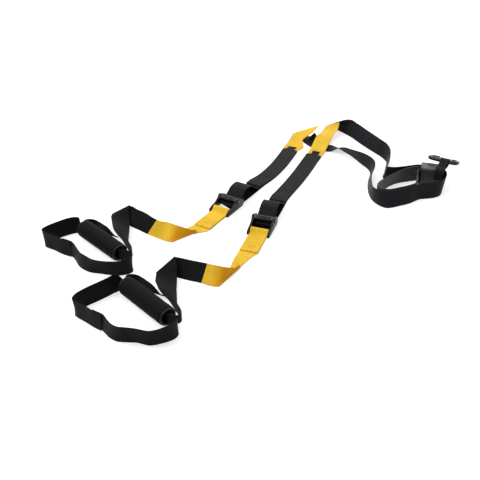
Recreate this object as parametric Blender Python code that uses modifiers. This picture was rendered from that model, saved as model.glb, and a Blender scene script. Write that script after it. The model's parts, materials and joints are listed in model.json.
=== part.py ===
"""Suspension trainer, laid out on the floor with both handles to one side.

Two foam grips in webbing handles, two cam buckles, two yellow adjustment tabs and one
main strap that turns back on itself at the anchor, where a sleeve holds the sewn anchor
loop and the tab of the carabiner.  Metres, +Z up, +X from the handles to the anchor.
left_ is the side at +Y and right_ the side at -Y.
"""
import math

import bmesh
import bpy
from mathutils import Matrix, Vector

# The floor square that the trainer is laid out in.  Places on the floor are thousandths
# of its side, and heights over the floor are shares of the webbing's width.
LAYOUT_SIDE = 1.0
CENTRE_SHARE = (0.0531, 0.1154)

# Webbing
WEBBING_WIDTH = 0.038
WEBBING_THICKNESS = 0.002
TAB_WIDTH = 0.020
PLY_GAP = 0.0003
STRIP_STEP = 0.014

# Clearances
SEAT_GAP = 0.0003
CUT_OVERRUN = 0.002

# Grip
GRIP_LENGTH = 0.124
GRIP_RADIUS = 0.018
TUBE_RADIUS = 0.0152
TUBE_WALL = 0.0014
RING_THICKNESS = 0.003
RING_RADIUS = 0.0168
RING_WALL = 0.0012
RING_SPIGOT = 0.009
FOAM_ROUNDING = 0.0018
GATHERED_WIDTH = 0.0220
STRAND_OFFSET = 0.0034
CRADLE_LAP = 0.022

# Cam buckle, in its own frame: X across, Y up the strap, Z up from the floor
BUCKLE_PLAY = 0.0014
BUCKLE_INSIDE = WEBBING_WIDTH + BUCKLE_PLAY
CHEEK_THICKNESS = 0.0042
CHEEK_LENGTH = 0.064
CHEEK_HEIGHT = 0.022
CHEEK_FOOT = 0.0006
LOOP_BAR_RADIUS = 0.003
LOOP_BAR_Y = -0.020
LOOP_BAR_Z = 0.0072
STRAP_BAR_RADIUS = 0.0025
STRAP_BAR_Y = 0.005
STRAP_BAR_Z = 0.0086
BASE_THICKNESS = 0.0022
BASE_START_Y = 0.012
BASE_END_Y = 0.029
BOSS_RADIUS = 0.0062
BOSS_HEIGHT = 0.0016
CAM_PIN_RADIUS = 0.0016
CAM_PIN_Y = 0.010
CAM_RADIUS = 0.0046
CAM_TOOTH_DEPTH = 0.0007
CAM_TEETH = 9
LEVER_THICKNESS = 0.0028
LEVER_FRONT = 0.0105
LEVER_BACK = 0.0040
LEVER_LIP = 0.0030
SPRING_WIRE = 0.0004
SPRING_TURNS = 4
SPRING_LENGTH = 0.0062

# Lengths of webbing that are set by sewing
LOOP_TAIL = 0.074
ARCH_SPAN = 0.098
ARCH_HEIGHT = 0.028
ARCH_TAIL = 0.026
PATCH_TONGUE_WIDTH = 0.018
PATCH_TONGUE = 0.012
PATCH_LENGTH = 0.034

# Anchor
SLEEVE_LENGTH = 0.042
SLEEVE_INSIDE = 0.0150
SLEEVE_PLAY = 0.0045
SLEEVE_HEIGHT = WEBBING_WIDTH + SLEEVE_PLAY
SLEEVE_WALL = 0.0022
CARABINER_LENGTH = 0.070
CARABINER_WIDTH = 0.044
CARABINER_STOCK = 0.0045
GATE_RADIUS = 0.0036
GATE_PIN_RADIUS = 0.0014
NOSE_GAP = 0.0006

# Places on the floor, and the degrees that the part there is turned by.  The third share
# of the spine is its height: the tab holds the carabiner there, and the body tilts down
# from there to its gate.
RIGHT_GRIP_SHARE, RIGHT_GRIP_HEADING = (-163, -223), -47.7
LEFT_GRIP_SHARE, LEFT_GRIP_HEADING = (-271.5, -30), -46.6
RIGHT_BUCKLE_SHARE, RIGHT_BUCKLE_HEADING = (46.5, 44), 71.5
LEFT_BUCKLE_SHARE, LEFT_BUCKLE_HEADING = (-28.5, 126.5), 58
RIGHT_LAP_SHARE, LEFT_LAP_SHARE = (-229, -284), (-322, -63)
SLEEVE_SHARE, SLEEVE_HEADING = (429, 233.5), -14
SPINE_SHARES, CARABINER_HEADING, CARABINER_TILT = (459.5, 236.5, 1.49), -32, -20


# Scene, collections and materials

for old in list(bpy.data.objects):
    bpy.data.objects.remove(old, do_unlink=True)

parts = bpy.data.collections.new("suspension_trainer")
cutters = bpy.data.collections.new("cutters")
bpy.context.scene.collection.children.link(parts)
bpy.context.scene.collection.children.link(cutters)


def material(name, colour, roughness, metallic=0.0):
    made = bpy.data.materials.new(name)
    made.use_nodes = True
    shader = made.node_tree.nodes["Principled BSDF"]
    shader.inputs["Base Color"].default_value = (*colour, 1.0)
    shader.inputs["Roughness"].default_value = roughness
    shader.inputs["Metallic"].default_value = metallic
    return made


black_webbing = material("black_webbing", (0.028, 0.028, 0.030), 0.55)
anchor_webbing = material("anchor_webbing", (0.055, 0.052, 0.062), 0.60)
yellow_webbing = material("yellow_webbing", (0.84, 0.53, 0.050), 0.60)
foam_rubber = material("foam_rubber", (0.020, 0.020, 0.020), 0.90)
tube_plastic = material("tube_plastic", (0.050, 0.050, 0.052), 0.40)
buckle_plastic = material("buckle_plastic", (0.030, 0.030, 0.032), 0.38)
steel = material("steel", (0.55, 0.56, 0.58), 0.30, 1.0)
black_alloy = material("black_alloy", (0.045, 0.045, 0.048), 0.32, 0.8)


# Objects and meshes

def add_object(name, mesh, finish=None, group=parts):
    made = bpy.data.objects.new(name, mesh)
    group.objects.link(made)
    if finish is not None:
        made.data.materials.clear()
        made.data.materials.append(finish)
    return made


def mesh_of(shape, name):
    mesh = bpy.data.meshes.new(name)
    shape.to_mesh(mesh)
    shape.free()
    return mesh


def evaluated_mesh(source):
    """A closed mesh of a curve or of an object with modifiers, in world space."""
    bpy.context.view_layer.update()
    seen = source.evaluated_get(bpy.context.evaluated_depsgraph_get())
    mesh = bpy.data.meshes.new_from_object(seen)
    mesh.transform(source.matrix_world)
    shape = bmesh.new()
    shape.from_mesh(mesh)
    bmesh.ops.remove_doubles(shape, verts=shape.verts, dist=SEAT_GAP / 30)
    shape.to_mesh(mesh)
    shape.free()
    bpy.data.objects.remove(source, do_unlink=True)
    return mesh


def guide(name, mesh):
    made = add_object(name, mesh, group=cutters)
    made.hide_render = True
    made.display_type = "WIRE"
    return made


def block(name, low, high, place):
    shape = bmesh.new()
    bmesh.ops.create_cube(shape, size=1.0)
    size = Vector(high) - Vector(low)
    middle = (Vector(high) + Vector(low)) / 2
    shape.transform(place @ Matrix.Translation(middle) @ Matrix.Diagonal((*size, 1.0)))
    return guide(name, mesh_of(shape, name))


def rod(name, start, end, radius, place, sides=24):
    """A cylinder between two points of a frame."""
    start, end = Vector(start), Vector(end)
    shape = bmesh.new()
    bmesh.ops.create_cone(
        shape, cap_ends=True, segments=sides, radius1=radius, radius2=radius,
        depth=(end - start).length)
    turn = (end - start).to_track_quat("Z", "Y").to_matrix().to_4x4()
    shape.transform(place @ Matrix.Translation((start + end) / 2) @ turn)
    return guide(name, mesh_of(shape, name))


def plate(name, outline, low_x, high_x, place):
    """A flat outline in the frame's YZ plane, as thick as the two X places say."""
    curve = bpy.data.curves.new(name, "CURVE")
    curve.dimensions = "2D"
    curve.fill_mode = "BOTH"
    curve.extrude = (high_x - low_x) / 2
    line = curve.splines.new("POLY")
    line.points.add(len(outline) - 1)
    for point, (y, z) in zip(line.points, outline):
        point.co = (y, z, 0.0, 1.0)
    line.use_cyclic_u = True
    flat = bpy.data.objects.new(name, curve)
    cutters.objects.link(flat)
    stand = Matrix(((0, 0, 1, 0), (1, 0, 0, 0), (0, 1, 0, 0), (0, 0, 0, 1)))
    flat.matrix_world = place @ Matrix.Translation(((low_x + high_x) / 2, 0, 0)) @ stand
    return guide(name, evaluated_mesh(flat))


def combine(base, others, operation):
    for other in others:
        change = base.modifiers.new(operation.lower(), "BOOLEAN")
        change.operation = operation
        change.solver = "EXACT"
        change.object = other
    mesh = evaluated_mesh(base)
    for other in others:
        bpy.data.objects.remove(other, do_unlink=True)
    return guide("solid", mesh)


def finished(name, solid, finish, smooth_degrees=40):
    """The finished solid as a part of its own."""
    mesh = evaluated_mesh(solid)
    shape = bmesh.new()
    shape.from_mesh(mesh)
    bmesh.ops.recalc_face_normals(shape, faces=shape.faces)
    shape.to_mesh(mesh)
    shape.free()
    mesh.name = name
    mesh.shade_smooth()
    mesh.set_sharp_from_angle(angle=math.radians(smooth_degrees))
    return add_object(name, mesh, finish)


def turned(name, profile, place, finish, steps=32):
    """A profile of (along, radius) points turned round the frame's X axis."""
    shape = bmesh.new()
    points = [shape.verts.new((radius, 0.0, along)) for along, radius in profile]
    for one, other in zip(points, points[1:] + points[:1]):
        shape.edges.new((one, other))
    made = add_object(name, mesh_of(shape, name), finish, cutters)
    made.matrix_world = place @ Matrix.Rotation(math.radians(90), 4, "Y")
    spin = made.modifiers.new("turn", "SCREW")
    spin.steps = steps
    spin.render_steps = steps
    spin.use_merge_vertices = True
    spin.merge_threshold = SEAT_GAP / 30
    spin.use_normal_calculate = True
    return finished(name, made, finish)


def wire(name, points, radius, finish, place, resolution=2, cyclic=False):
    """A round wire along a list of points of a frame."""
    curve = bpy.data.curves.new(name, "CURVE")
    curve.dimensions = "3D"
    curve.bevel_depth = radius
    curve.bevel_resolution = resolution
    curve.use_fill_caps = True
    line = curve.splines.new("POLY")
    line.points.add(len(points) - 1)
    for point, spot in zip(line.points, points):
        point.co = (*spot, 1.0)
    line.use_cyclic_u = cyclic
    made = bpy.data.objects.new(name, curve)
    cutters.objects.link(made)
    made.matrix_world = place
    return finished(name, guide(name, evaluated_mesh(made)), finish, 60)


# Webbing.  A strip is a list of rungs, each the two edge points of the webbing's middle
# surface, and its thickness is put on round that surface.

def floor_spot(x, y, height=0.0):
    """A place in thousandths of the layout's side, at a share of the webbing's width."""
    across, away = CENTRE_SHARE
    return Vector(((x / 1000 - across) * LAYOUT_SIDE, (y / 1000 - away) * LAYOUT_SIDE,
                   height * WEBBING_WIDTH))


def rungs_from(shares):
    """Rungs from rows of: edge one x, y, height, edge two x, y, height, stretch."""
    made = []
    for row in shares:
        one, two = floor_spot(*row[0:3]), floor_spot(*row[3:6])
        stretch = row[6] if len(row) > 6 else 1.0
        across = (two - one).normalized()
        lift = Vector((0, 0, WEBBING_THICKNESS / 2)) * math.hypot(across.x, across.y)
        length = WEBBING_WIDTH * stretch
        if one.z <= two.z:
            made.append((one + lift, one + lift + across * length))
        else:
            made.append((two + lift - across * length, two + lift))
    return made


def frame_rung(place, along, height):
    """A rung that lies square across a frame, at a place along its Y axis."""
    half = WEBBING_WIDTH / 2
    return (place @ Vector((-half, along, height)), place @ Vector((half, along, height)))


def upright_rung(place, along, away, height, width):
    """A rung that stands on edge at a place of a frame, bottom edge first."""
    return (place @ Vector((along, away, height - width / 2)),
            place @ Vector((along, away, height + width / 2)))


def smooth(rungs, step=STRIP_STEP):
    """More rungs on a smooth curve through the given ones."""
    def between(a, b, c, d, share):
        size = [max((q - p).length, WEBBING_THICKNESS) ** 0.5
                for p, q in ((a, b), (b, c), (c, d))]
        in_slope = (c - b) / size[1] - (c - a) / (size[0] + size[1]) + (b - a) / size[0]
        out_slope = (d - c) / size[2] - (d - b) / (size[1] + size[2]) + (c - b) / size[1]
        in_slope, out_slope = in_slope * size[1], out_slope * size[1]
        cube, square = share ** 3, share ** 2
        return (b * (2 * cube - 3 * square + 1) + in_slope * (cube - 2 * square + share)
                + c * (3 * square - 2 * cube) + out_slope * (cube - square))

    made = [rungs[0]]
    last = len(rungs) - 1
    for index in range(last):
        ends = [rungs[max(index - 1, 0)], rungs[index], rungs[index + 1],
                rungs[min(index + 2, last)]]
        reach = max((ends[2][k] - ends[1][k]).length for k in (0, 1))
        count = max(1, round(reach / step))
        for part in range(1, count + 1):
            pair = []
            for k in (0, 1):
                spot = between(*[rung[k] for rung in ends], part / count)
                floor = min(ends[1][k].z, ends[2][k].z)
                spot.z = max(spot.z, floor)
                pair.append(spot)
            made.append(tuple(pair))
    return made


def normals(rungs):
    """The direction that each rung's upper face looks in."""
    found = []
    for index, (one, two) in enumerate(rungs):
        before, after = rungs[max(index - 1, 0)], rungs[min(index + 1, len(rungs) - 1)]
        along = (after[0] + after[1]) - (before[0] + before[1])
        found.append((two - one).cross(along).normalized())
    return found


def shifted(rungs, plies):
    """The same strip, so many plies further out; plies may be a list."""
    ply = WEBBING_THICKNESS + PLY_GAP
    counts = plies if isinstance(plies, list) else [plies] * len(rungs)
    return [(one + out * ply * count, two + out * ply * count)
            for (one, two), out, count in zip(rungs, normals(rungs), counts)]


def middle(rung):
    return (rung[0] + rung[1]) / 2


def stretch_of(rungs, start, end):
    """The part of a strip between two lengths along it."""
    def blend(before, after, share):
        return tuple(p.lerp(q, share) for p, q in zip(before, after))

    made = []
    walked = 0.0
    for before, after in zip(rungs, rungs[1:]):
        reach = (middle(after) - middle(before)).length
        if walked + reach > start and not made:
            made.append(blend(before, after, (start - walked) / reach))
        if made and walked + reach >= end:
            made.append(blend(before, after, (end - walked) / reach))
            return made
        if made:
            made.append(after)
        walked += reach
    return made


def length_of(rungs):
    return sum((middle(b) - middle(a)).length for a, b in zip(rungs, rungs[1:]))


def webbing(name, rungs, finish, thickness=WEBBING_THICKNESS):
    """Webbing laid along its rungs, as a strip with its thickness put on."""
    shape = bmesh.new()
    rows = [[shape.verts.new(spot) for spot in rung] for rung in rungs]
    for before, after in zip(rows, rows[1:]):
        shape.faces.new((before[0], before[1], after[1], after[0]))
    made = add_object(name, mesh_of(shape, name), finish)
    thicken = made.modifiers.new("thickness", "SOLIDIFY")
    thicken.thickness = thickness
    thicken.offset = 0.0
    thicken.use_even_offset = False
    return made


# Handle: a foam grip on a plastic tube, the strap through it and the foot cradle

def make_grip(side, place):
    half = GRIP_LENGTH / 2
    inside = half - RING_THICKNESS - SEAT_GAP
    bore = TUBE_RADIUS + SEAT_GAP
    turned(f"{side}_grip_foam", [
        (-inside, bore), (-inside, GRIP_RADIUS - FOAM_ROUNDING),
        (-inside + FOAM_ROUNDING, GRIP_RADIUS), (0.0, GRIP_RADIUS),
        (inside - FOAM_ROUNDING, GRIP_RADIUS),
        (inside, GRIP_RADIUS - FOAM_ROUNDING), (inside, bore), (0.0, bore)], place, foam_rubber)
    tube_bore = TUBE_RADIUS - TUBE_WALL
    turned(f"{side}_grip_tube", [
        (-inside, tube_bore), (-inside, TUBE_RADIUS), (inside, TUBE_RADIUS),
        (inside, tube_bore)], place, tube_plastic)
    spigot = tube_bore - SEAT_GAP
    hole = spigot - RING_WALL
    for end, way in (("inner", -1), ("outer", 1)):
        turned(f"{side}_grip_ring_{end}", [
            (way * (inside - RING_SPIGOT), hole), (way * (inside - RING_SPIGOT), spigot),
            (way * (inside + SEAT_GAP), spigot), (way * (inside + SEAT_GAP), RING_RADIUS),
            (way * (half - RING_THICKNESS * 0.3), RING_RADIUS),
            (way * half, RING_RADIUS - RING_THICKNESS * 0.3),
            (way * half, hole + RING_THICKNESS * 0.4),
            (way * (half - RING_THICKNESS * 0.4), hole)], place, tube_plastic)


def strand_in_tube(place, offset):
    """The gathered strand through the tube, from the inner mouth to the outer one."""
    half = GRIP_LENGTH / 2
    flare = GRIP_LENGTH * 0.06
    wide = WEBBING_WIDTH * 0.72
    spots = [(-half - flare, wide), (-half, GATHERED_WIDTH), (-half * 0.5, GATHERED_WIDTH),
             (half * 0.5, GATHERED_WIDTH), (half, GATHERED_WIDTH), (half + flare, wide)]
    return [upright_rung(place, along, offset, 0.0, width) for along, width in spots]


# The foot cradle's standing part, from the outer mouth round to the inner mouth: rows of
# foot x, y, 0, top x, y, height.
RIGHT_CRADLE_SHARES = [
    (-104, -287, 0, -103, -289, 1), (-105, -297, 0, -104, -299, 1),
    (-113, -306, 0, -112, -309, 1), (-129, -314, 0, -127, -320, 1),
    (-149, -319, 0, -147, -327, 1), (-171, -312, 0, -168, -321, 1),
    (-189, -311, 0, -186, -318, 1), (-204, -309, 0, -200, -316, 1),
    (-217, -300, 0, -211, -308, 1), (-226, -289, 0, -220, -296, 1),
    (-233, -280, 0, -228, -284, 1), (-246, -271, 0, -242, -275, 1),
    (-263, -259, 0, -260, -262, 1), (-280, -247, 0, -276, -251, 1),
    (-286, -240, 0, -287, -241, 1), (-283, -229, 0, -284, -229, 1),
    (-270, -214, 0, -270, -212, 1), (-253, -200, 0, -252, -196, 1),
    (-236, -185, 0, -235, -181, 1), (-223, -173, 0, -222, -170, 1)]
LEFT_CRADLE_SHARES = [
    (-206, -98, 0, -204, -98, 1), (-202, -108, 0, -201, -107, 1),
    (-209, -117, 0, -208, -120, 1), (-226, -122, 0, -225, -130, 1),
    (-245, -120, 0, -243, -130, 1), (-263, -116, 0, -260, -127, 1),
    (-279, -113, 0, -274, -122, 1), (-293, -105, 0, -286, -112, 1),
    (-306, -92, 0, -299, -100, 1), (-316, -73, 0, -311, -80, 1),
    (-327, -58, 0, -322, -63, 1), (-344, -49, 0, -340, -53, 1),
    (-366, -36, 0, -363, -40, 1), (-384, -25, 0, -383, -27, 1),
    (-387, -19, 0, -389, -19, 1), (-380, -8, 0, -382, -7, 1),
    (-362, 9, 0, -363, 10, 1), (-348, 19, 0, -349, 21, 1),
    (-334, 26, 0, -334, 27, 1), (-325, 23, 0, -324, 24, 1)]

# The handle strap outside the tube, as shares of the grip's length along and away from
# its axis, then the middle's height and the width as shares of the webbing's width: round
# the outer mouth, and from the inner mouth back to its gathered end under the panel.
OUTER_BEND_SHARES = [
    (0.435, 0.208, 0.50, 0.60), (0.542, 0.176, 0.50, 0.52), (0.613, 0.135, 0.50, 0.50),
    (0.627, 0.072, 0.50, 0.48), (0.580, 0.050, 0.50, 0.46)]
INNER_LEG_SHARES = [
    (-0.580, 0.050, 0.48, 0.46), (-0.615, 0.110, 0.46, 0.50), (-0.590, 0.170, 0.434, 0.54),
    (-0.520, 0.215, 0.434, 0.55), (-0.420, 0.232, 0.434, 0.55), (-0.300, 0.236, 0.434, 0.55),
    (-0.183, 0.243, 0.447, 0.47), (-0.121, 0.263, 0.355, 0.29), (-0.060, 0.294, 0.22, 0.07),
    (-0.018, 0.316, 0.21, 0.08)]


def make_cradle(side, place, shares, lap_share):
    free = rungs_from(shares)
    tube = strand_in_tube(place, -STRAND_OFFSET)
    rungs = smooth([tube[3]] + tube[4:] + free + tube[:2] + [tube[2]])
    lap = floor_spot(*lap_share)
    cut = min(range(len(rungs)), key=lambda index: (rungs[index][0] - lap).length)
    rest = rungs[cut:]
    front = rungs[:cut] + stretch_of(rest, 0.0, CRADLE_LAP)
    plies, walked = [], 0.0
    for before, after in zip([rest[0]] + rest, rest):
        walked += (middle(after) - middle(before)).length
        plies.append(1.0 - min(max((walked - CRADLE_LAP) / CRADLE_LAP, 0.0), 1.0))
    webbing(f"{side}_foot_cradle_front", front, black_webbing)
    webbing(f"{side}_foot_cradle_back", shifted(rest, plies), black_webbing)


def grip_loop_rungs(place):
    """The handle strap from the outer mouth, through the tube and back beside the grip."""
    def beside(rows):
        return [upright_rung(place, along * GRIP_LENGTH, away * GRIP_LENGTH,
                             (height - 0.5) * WEBBING_WIDTH, width * WEBBING_WIDTH)
                for along, away, height, width in rows]

    tube = strand_in_tube(place, STRAND_OFFSET)[1:-1]
    return beside(OUTER_BEND_SHARES) + tube[::-1] + beside(INNER_LEG_SHARES)


# Cam buckle

def make_buckle(side, place):
    half = BUCKLE_INSIDE / 2
    outer = half + CHEEK_THICKNESS
    front, back = -CHEEK_LENGTH * 0.52, CHEEK_LENGTH * 0.48
    top = CHEEK_HEIGHT
    outline = [
        (front, CHEEK_FOOT), (front * 0.98, top * 0.33), (front * 0.70, top * 0.50),
        (front * 0.40, top * 0.56), (front * 0.16, top * 0.72), (0.0, top * 0.93),
        (CAM_PIN_Y * 0.5, top), (CAM_PIN_Y + BOSS_RADIUS, top), (back * 0.80, top * 0.84),
        (back, top * 0.55), (back, top * 0.22), (back * 0.86, CHEEK_FOOT)]
    cheeks = [plate("cheek", outline, way * half if way > 0 else -outer,
                    outer if way > 0 else -half, place) for way in (-1, 1)]
    pin_z = strap_top() + CAM_RADIUS + SEAT_GAP
    sunk = half + CHEEK_THICKNESS * 0.6
    pieces = [cheeks[1]]
    pieces.append(rod("loop_bar", (-sunk, LOOP_BAR_Y, LOOP_BAR_Z),
                      (sunk, LOOP_BAR_Y, LOOP_BAR_Z), LOOP_BAR_RADIUS, place, 20))
    pieces.append(rod("strap_bar", (-sunk, STRAP_BAR_Y, STRAP_BAR_Z),
                      (sunk, STRAP_BAR_Y, STRAP_BAR_Z), STRAP_BAR_RADIUS, place, 20))
    pieces.append(block("base", (-sunk, BASE_START_Y, CHEEK_FOOT + BASE_THICKNESS * 0.1),
                        (sunk, BASE_END_Y, CHEEK_FOOT + BASE_THICKNESS), place))
    for way in (-1, 1):
        pieces.append(rod("boss", (way * (half + CHEEK_THICKNESS * 0.4), CAM_PIN_Y, pin_z),
                          (way * (outer + BOSS_HEIGHT), CAM_PIN_Y, pin_z), BOSS_RADIUS, place, 28))
    body = combine(cheeks[0], pieces, "UNION")
    hole = rod("pin_hole", (-outer - BOSS_HEIGHT - CUT_OVERRUN, CAM_PIN_Y, pin_z),
               (outer + BOSS_HEIGHT + CUT_OVERRUN, CAM_PIN_Y, pin_z), CAM_PIN_RADIUS + SEAT_GAP, place, 20)
    body = combine(body, [hole], "DIFFERENCE")
    finished(f"{side}_buckle_frame", body, buckle_plastic)

    reach = outer + BOSS_HEIGHT
    pin = rod("pin", (-reach, CAM_PIN_Y, pin_z), (reach, CAM_PIN_Y, pin_z), CAM_PIN_RADIUS, place, 16)
    finished(f"{side}_cam_pin", pin, steel)
    make_cam(side, place, pin_z)
    return pin_z


def strap_top():
    """The top of the webbing where it leaves the strap bar."""
    return STRAP_BAR_Z + STRAP_BAR_RADIUS + PLY_GAP + WEBBING_THICKNESS


def make_cam(side, place, pin_z):
    half = BUCKLE_INSIDE / 2 - SEAT_GAP
    outline = []
    for tooth in range(CAM_TEETH):
        for part, radius in ((0.0, CAM_RADIUS - CAM_TOOTH_DEPTH), (0.62, CAM_RADIUS)):
            angle = math.radians(170 + (tooth + part) * 150 / CAM_TEETH)
            outline.append((CAM_PIN_Y + radius * math.cos(angle), pin_z + radius * math.sin(angle)))
    crown = pin_z + CAM_RADIUS - LEVER_THICKNESS
    outline += [
        (CAM_PIN_Y + CAM_RADIUS * 0.92, pin_z - CAM_RADIUS * 0.2),
        (CAM_PIN_Y + LEVER_BACK, crown + LEVER_THICKNESS),
        (CAM_PIN_Y - LEVER_FRONT * 0.75, crown + LEVER_THICKNESS),
        (CAM_PIN_Y - LEVER_FRONT, crown + LEVER_THICKNESS + LEVER_LIP * 0.4),
        (CAM_PIN_Y - LEVER_FRONT * 1.05, crown + LEVER_THICKNESS * 0.3),
        (CAM_PIN_Y - CAM_RADIUS * 0.9, crown)]
    cam = plate("cam", outline, -half, half, place)
    hole = rod("cam_hole", (-half - CUT_OVERRUN, CAM_PIN_Y, pin_z), (half + CUT_OVERRUN, CAM_PIN_Y, pin_z),
               CAM_PIN_RADIUS + SEAT_GAP, place, 20)
    reach = CAM_PIN_RADIUS + SEAT_GAP + SPRING_WIRE * 2 + SEAT_GAP
    pocket = block("pocket", (-SPRING_LENGTH / 2, CAM_PIN_Y - reach, pin_z - reach),
                   (SPRING_LENGTH / 2, CAM_PIN_Y + CAM_RADIUS * 2, pin_z + reach), place)
    finished(f"{side}_cam_lever", combine(cam, [hole, pocket], "DIFFERENCE"), buckle_plastic, 30)

    coil = CAM_PIN_RADIUS + SEAT_GAP + SPRING_WIRE
    run = SPRING_LENGTH - SPRING_WIRE * 2 - SEAT_GAP * 2
    steps = 12 * SPRING_TURNS
    points = []
    for step in range(steps + 1):
        angle = math.radians(30 * step)
        points.append((run * (step / steps - 0.5), CAM_PIN_Y + coil * math.cos(angle),
                       pin_z + coil * math.sin(angle)))
    wire(f"{side}_cam_spring", points, SPRING_WIRE, steel, place, 1)


# Straps at the buckle, in its frame

def loop_strap_rungs(place):
    """Yellow webbing from its sewn tail, round the loop bar and back under it."""
    ply = WEBBING_THICKNESS + PLY_GAP
    low = WEBBING_THICKNESS / 2
    turn = LOOP_BAR_RADIUS + PLY_GAP + WEBBING_THICKNESS / 2
    sewn = LOOP_BAR_Y - LOOP_TAIL
    profile = [(sewn, low + ply), (sewn + LOOP_TAIL * 0.4, low + ply),
               (LOOP_BAR_Y - turn * 2.2, low + ply * 1.3)]
    for degrees in range(120, -110, -24):
        angle = math.radians(degrees)
        profile.append((LOOP_BAR_Y + turn * math.cos(angle), LOOP_BAR_Z + turn * math.sin(angle)))
    profile += [(LOOP_BAR_Y - turn * 2.6, low), (sewn + LOOP_TAIL * 0.4, low), (sewn, low)]
    return [frame_rung(place, along, height) for along, height in profile]


def adjust_strap_rungs(place):
    """Black webbing along the floor, round the strap bar and back over in an arch."""
    ply = WEBBING_THICKNESS + PLY_GAP
    low = WEBBING_THICKNESS / 2
    base_top = CHEEK_FOOT + BASE_THICKNESS + PLY_GAP + WEBBING_THICKNESS / 2
    turn = STRAP_BAR_RADIUS + PLY_GAP + WEBBING_THICKNESS / 2
    arch_end = STRAP_BAR_Y + ARCH_SPAN
    lower = [(arch_end + ARCH_TAIL, low), (arch_end, low), (arch_end - ARCH_SPAN * 0.3, low),
             (BASE_END_Y + turn * 2.5, low), (BASE_END_Y + turn * 0.3, base_top),
             (BASE_START_Y, base_top)]
    wrap = []
    for degrees in range(-90, -285, -24):
        angle = math.radians(degrees)
        wrap.append((STRAP_BAR_Y + turn * math.cos(angle), STRAP_BAR_Z + turn * math.sin(angle)))
    level = STRAP_BAR_Z + turn
    upper = [(CAM_PIN_Y + CAM_RADIUS, level), (STRAP_BAR_Y + ARCH_SPAN * 0.22, ARCH_HEIGHT * 0.55),
             (STRAP_BAR_Y + ARCH_SPAN * 0.42, ARCH_HEIGHT * 0.96), (STRAP_BAR_Y + ARCH_SPAN * 0.62, ARCH_HEIGHT),
             (STRAP_BAR_Y + ARCH_SPAN * 0.82, ARCH_HEIGHT * 0.6), (arch_end, low + ply * 1.4),
             (arch_end + ARCH_TAIL * 0.25, low + ply), (arch_end + ARCH_TAIL, low + ply)]
    return [frame_rung(place, along, height) for along, height in lower + wrap + upper]


def folded(rungs, side=1.0):
    """Rungs round a fold at the last rung, towards the strip's own upper side."""
    ply = (WEBBING_THICKNESS + PLY_GAP) / 2
    one, two = rungs[-1]
    across = (two - one).normalized()
    forward = middle(rungs[-1]) - middle(rungs[-2])
    out = across.cross(forward).normalized()
    ahead = out.cross(across).normalized()
    made = []
    for degrees in (-60, -30, 0, 30, 60, 90):
        angle = math.radians(degrees)
        move = ahead * ply * math.cos(angle) + out * side * ply * (1 + math.sin(angle))
        made.append((one + move, two + move))
    return made


# Free stretches: rows of edge one x, y, height, edge two x, y, height, stretch.
# Yellow lower strap from the buckle to its black end.
RIGHT_LOWER_SHARES = [
    (-13, -72, 0, 17, -84, 0.42), (-19, -98, 0, 0, -122, 0.63), (-28, -123, 0, -11, -138, 0.84),
    (-39, -148, 0, -27, -136, 0.9), (-53, -156, 0, -40, -130, 0.78), (-71, -147, 0, -60, -127, 0.8)]
LEFT_LOWER_SHARES = [
    (-110, 42, 0, -86, 14, 0.37), (-118, 26, 0, -97, -2, 0.68), (-130, 8, 0, -110, -4, 0.85),
    (-142, -4, 0, -126, 2, 0.88), (-157, 1, 0, -143, 20, 0.8), (-188, 21, 0, -168, 26, 0.8)]

# Black handle strap from the yellow strap to its fold, and from the fold to the grip.
RIGHT_RISER_SHARES = [
    (-94, -139, 0, -89, -114, 0.8), (-116, -130, 0, -114, -107, 0.82),
    (-136, -123, 0, -118, -110, 0.86, 1.05), (-157, -117, 0.03, -120, -111, 0.90, 1.31)]
RIGHT_PANEL_SHARES = [
    (-157, -127, 0.03, -118, -128, 0.64, 1.18), (-157, -134, 0.04, -117, -139, 0.36, 1.05),
    (-156, -147, 0.10, -118, -151, 0.26), (-151, -164, 0.20, -114, -169, 0.30),
    (-147, -179, 0.30, -113.4, -184, 0.36), (-135.5, -199, 0.28, -111.5, -214, 0.55, 0.79),
    (-123.3, -217.5, 0.32, -108.5, -239, 0.80, 0.84)]
LEFT_RISER_SHARES = [
    (-208, 37, 0, -194, 54, 0.8), (-227, 52, 0, -214, 70, 0.82),
    (-247, 74, 0, -222, 75, 0.86, 1.1), (-270, 97, 0.03, -226, 78, 0.90, 1.45)]
LEFT_PANEL_SHARES = [
    (-272, 88, 0.03, -230, 68, 0.64, 1.25), (-270, 78, 0.04, -228, 58, 0.36, 1.12),
    (-267, 64, 0.10, -226, 47, 0.26, 1.06), (-262, 42, 0.20, -222, 29, 0.30),
    (-256, 20, 0.30, -220.7, 11.5, 0.36), (-242.5, -4, 0.28, -219.5, -21, 0.55, 0.79),
    (-231.5, -23, 0.32, -216.5, -45, 0.80, 0.84)]

# Doubled run from the arch to the tab, then the yellow tab to its fold.
RIGHT_RUN_SHARES = [(105, 246, 0, 141, 232, 0), (129, 300, 0, 165, 286, 0),
                    (150, 352, 0, 186, 336, 0), (163, 383, 0, 199, 366, 0)]
LEFT_RUN_SHARES = [(48.5, 282, 0, 80.5, 262, 0), (73, 328, 0, 107, 310, 0),
                   (91, 371, 0, 126, 357, 0), (106.5, 411, 0, 141.5, 395, 0)]
RIGHT_TAB_SHARES = [
    (165, 388, 0, 201, 370, 0), (173, 406, 0.16, 209, 390, 0.14), (183, 430, 0.34, 219, 416, 0.24),
    (192, 452, 0.46, 228, 440, 0.32), (203, 482, 0.24, 238, 468, 0.42), (216, 523, 0, 249, 484, 0.60, 1.5),
    (227, 554, 0, 253, 492, 0.95, 2.0)]
LEFT_TAB_SHARES = [
    (107, 418, 0, 143, 402, 0), (114, 436, 0, 158, 421, 0, 1.22), (126, 470, 0, 164, 448, 0.2),
    (134, 494, 0, 184, 468, 0.56, 1.62), (138, 503, 0.04, 198, 482, 0.83, 1.88)]

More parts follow.
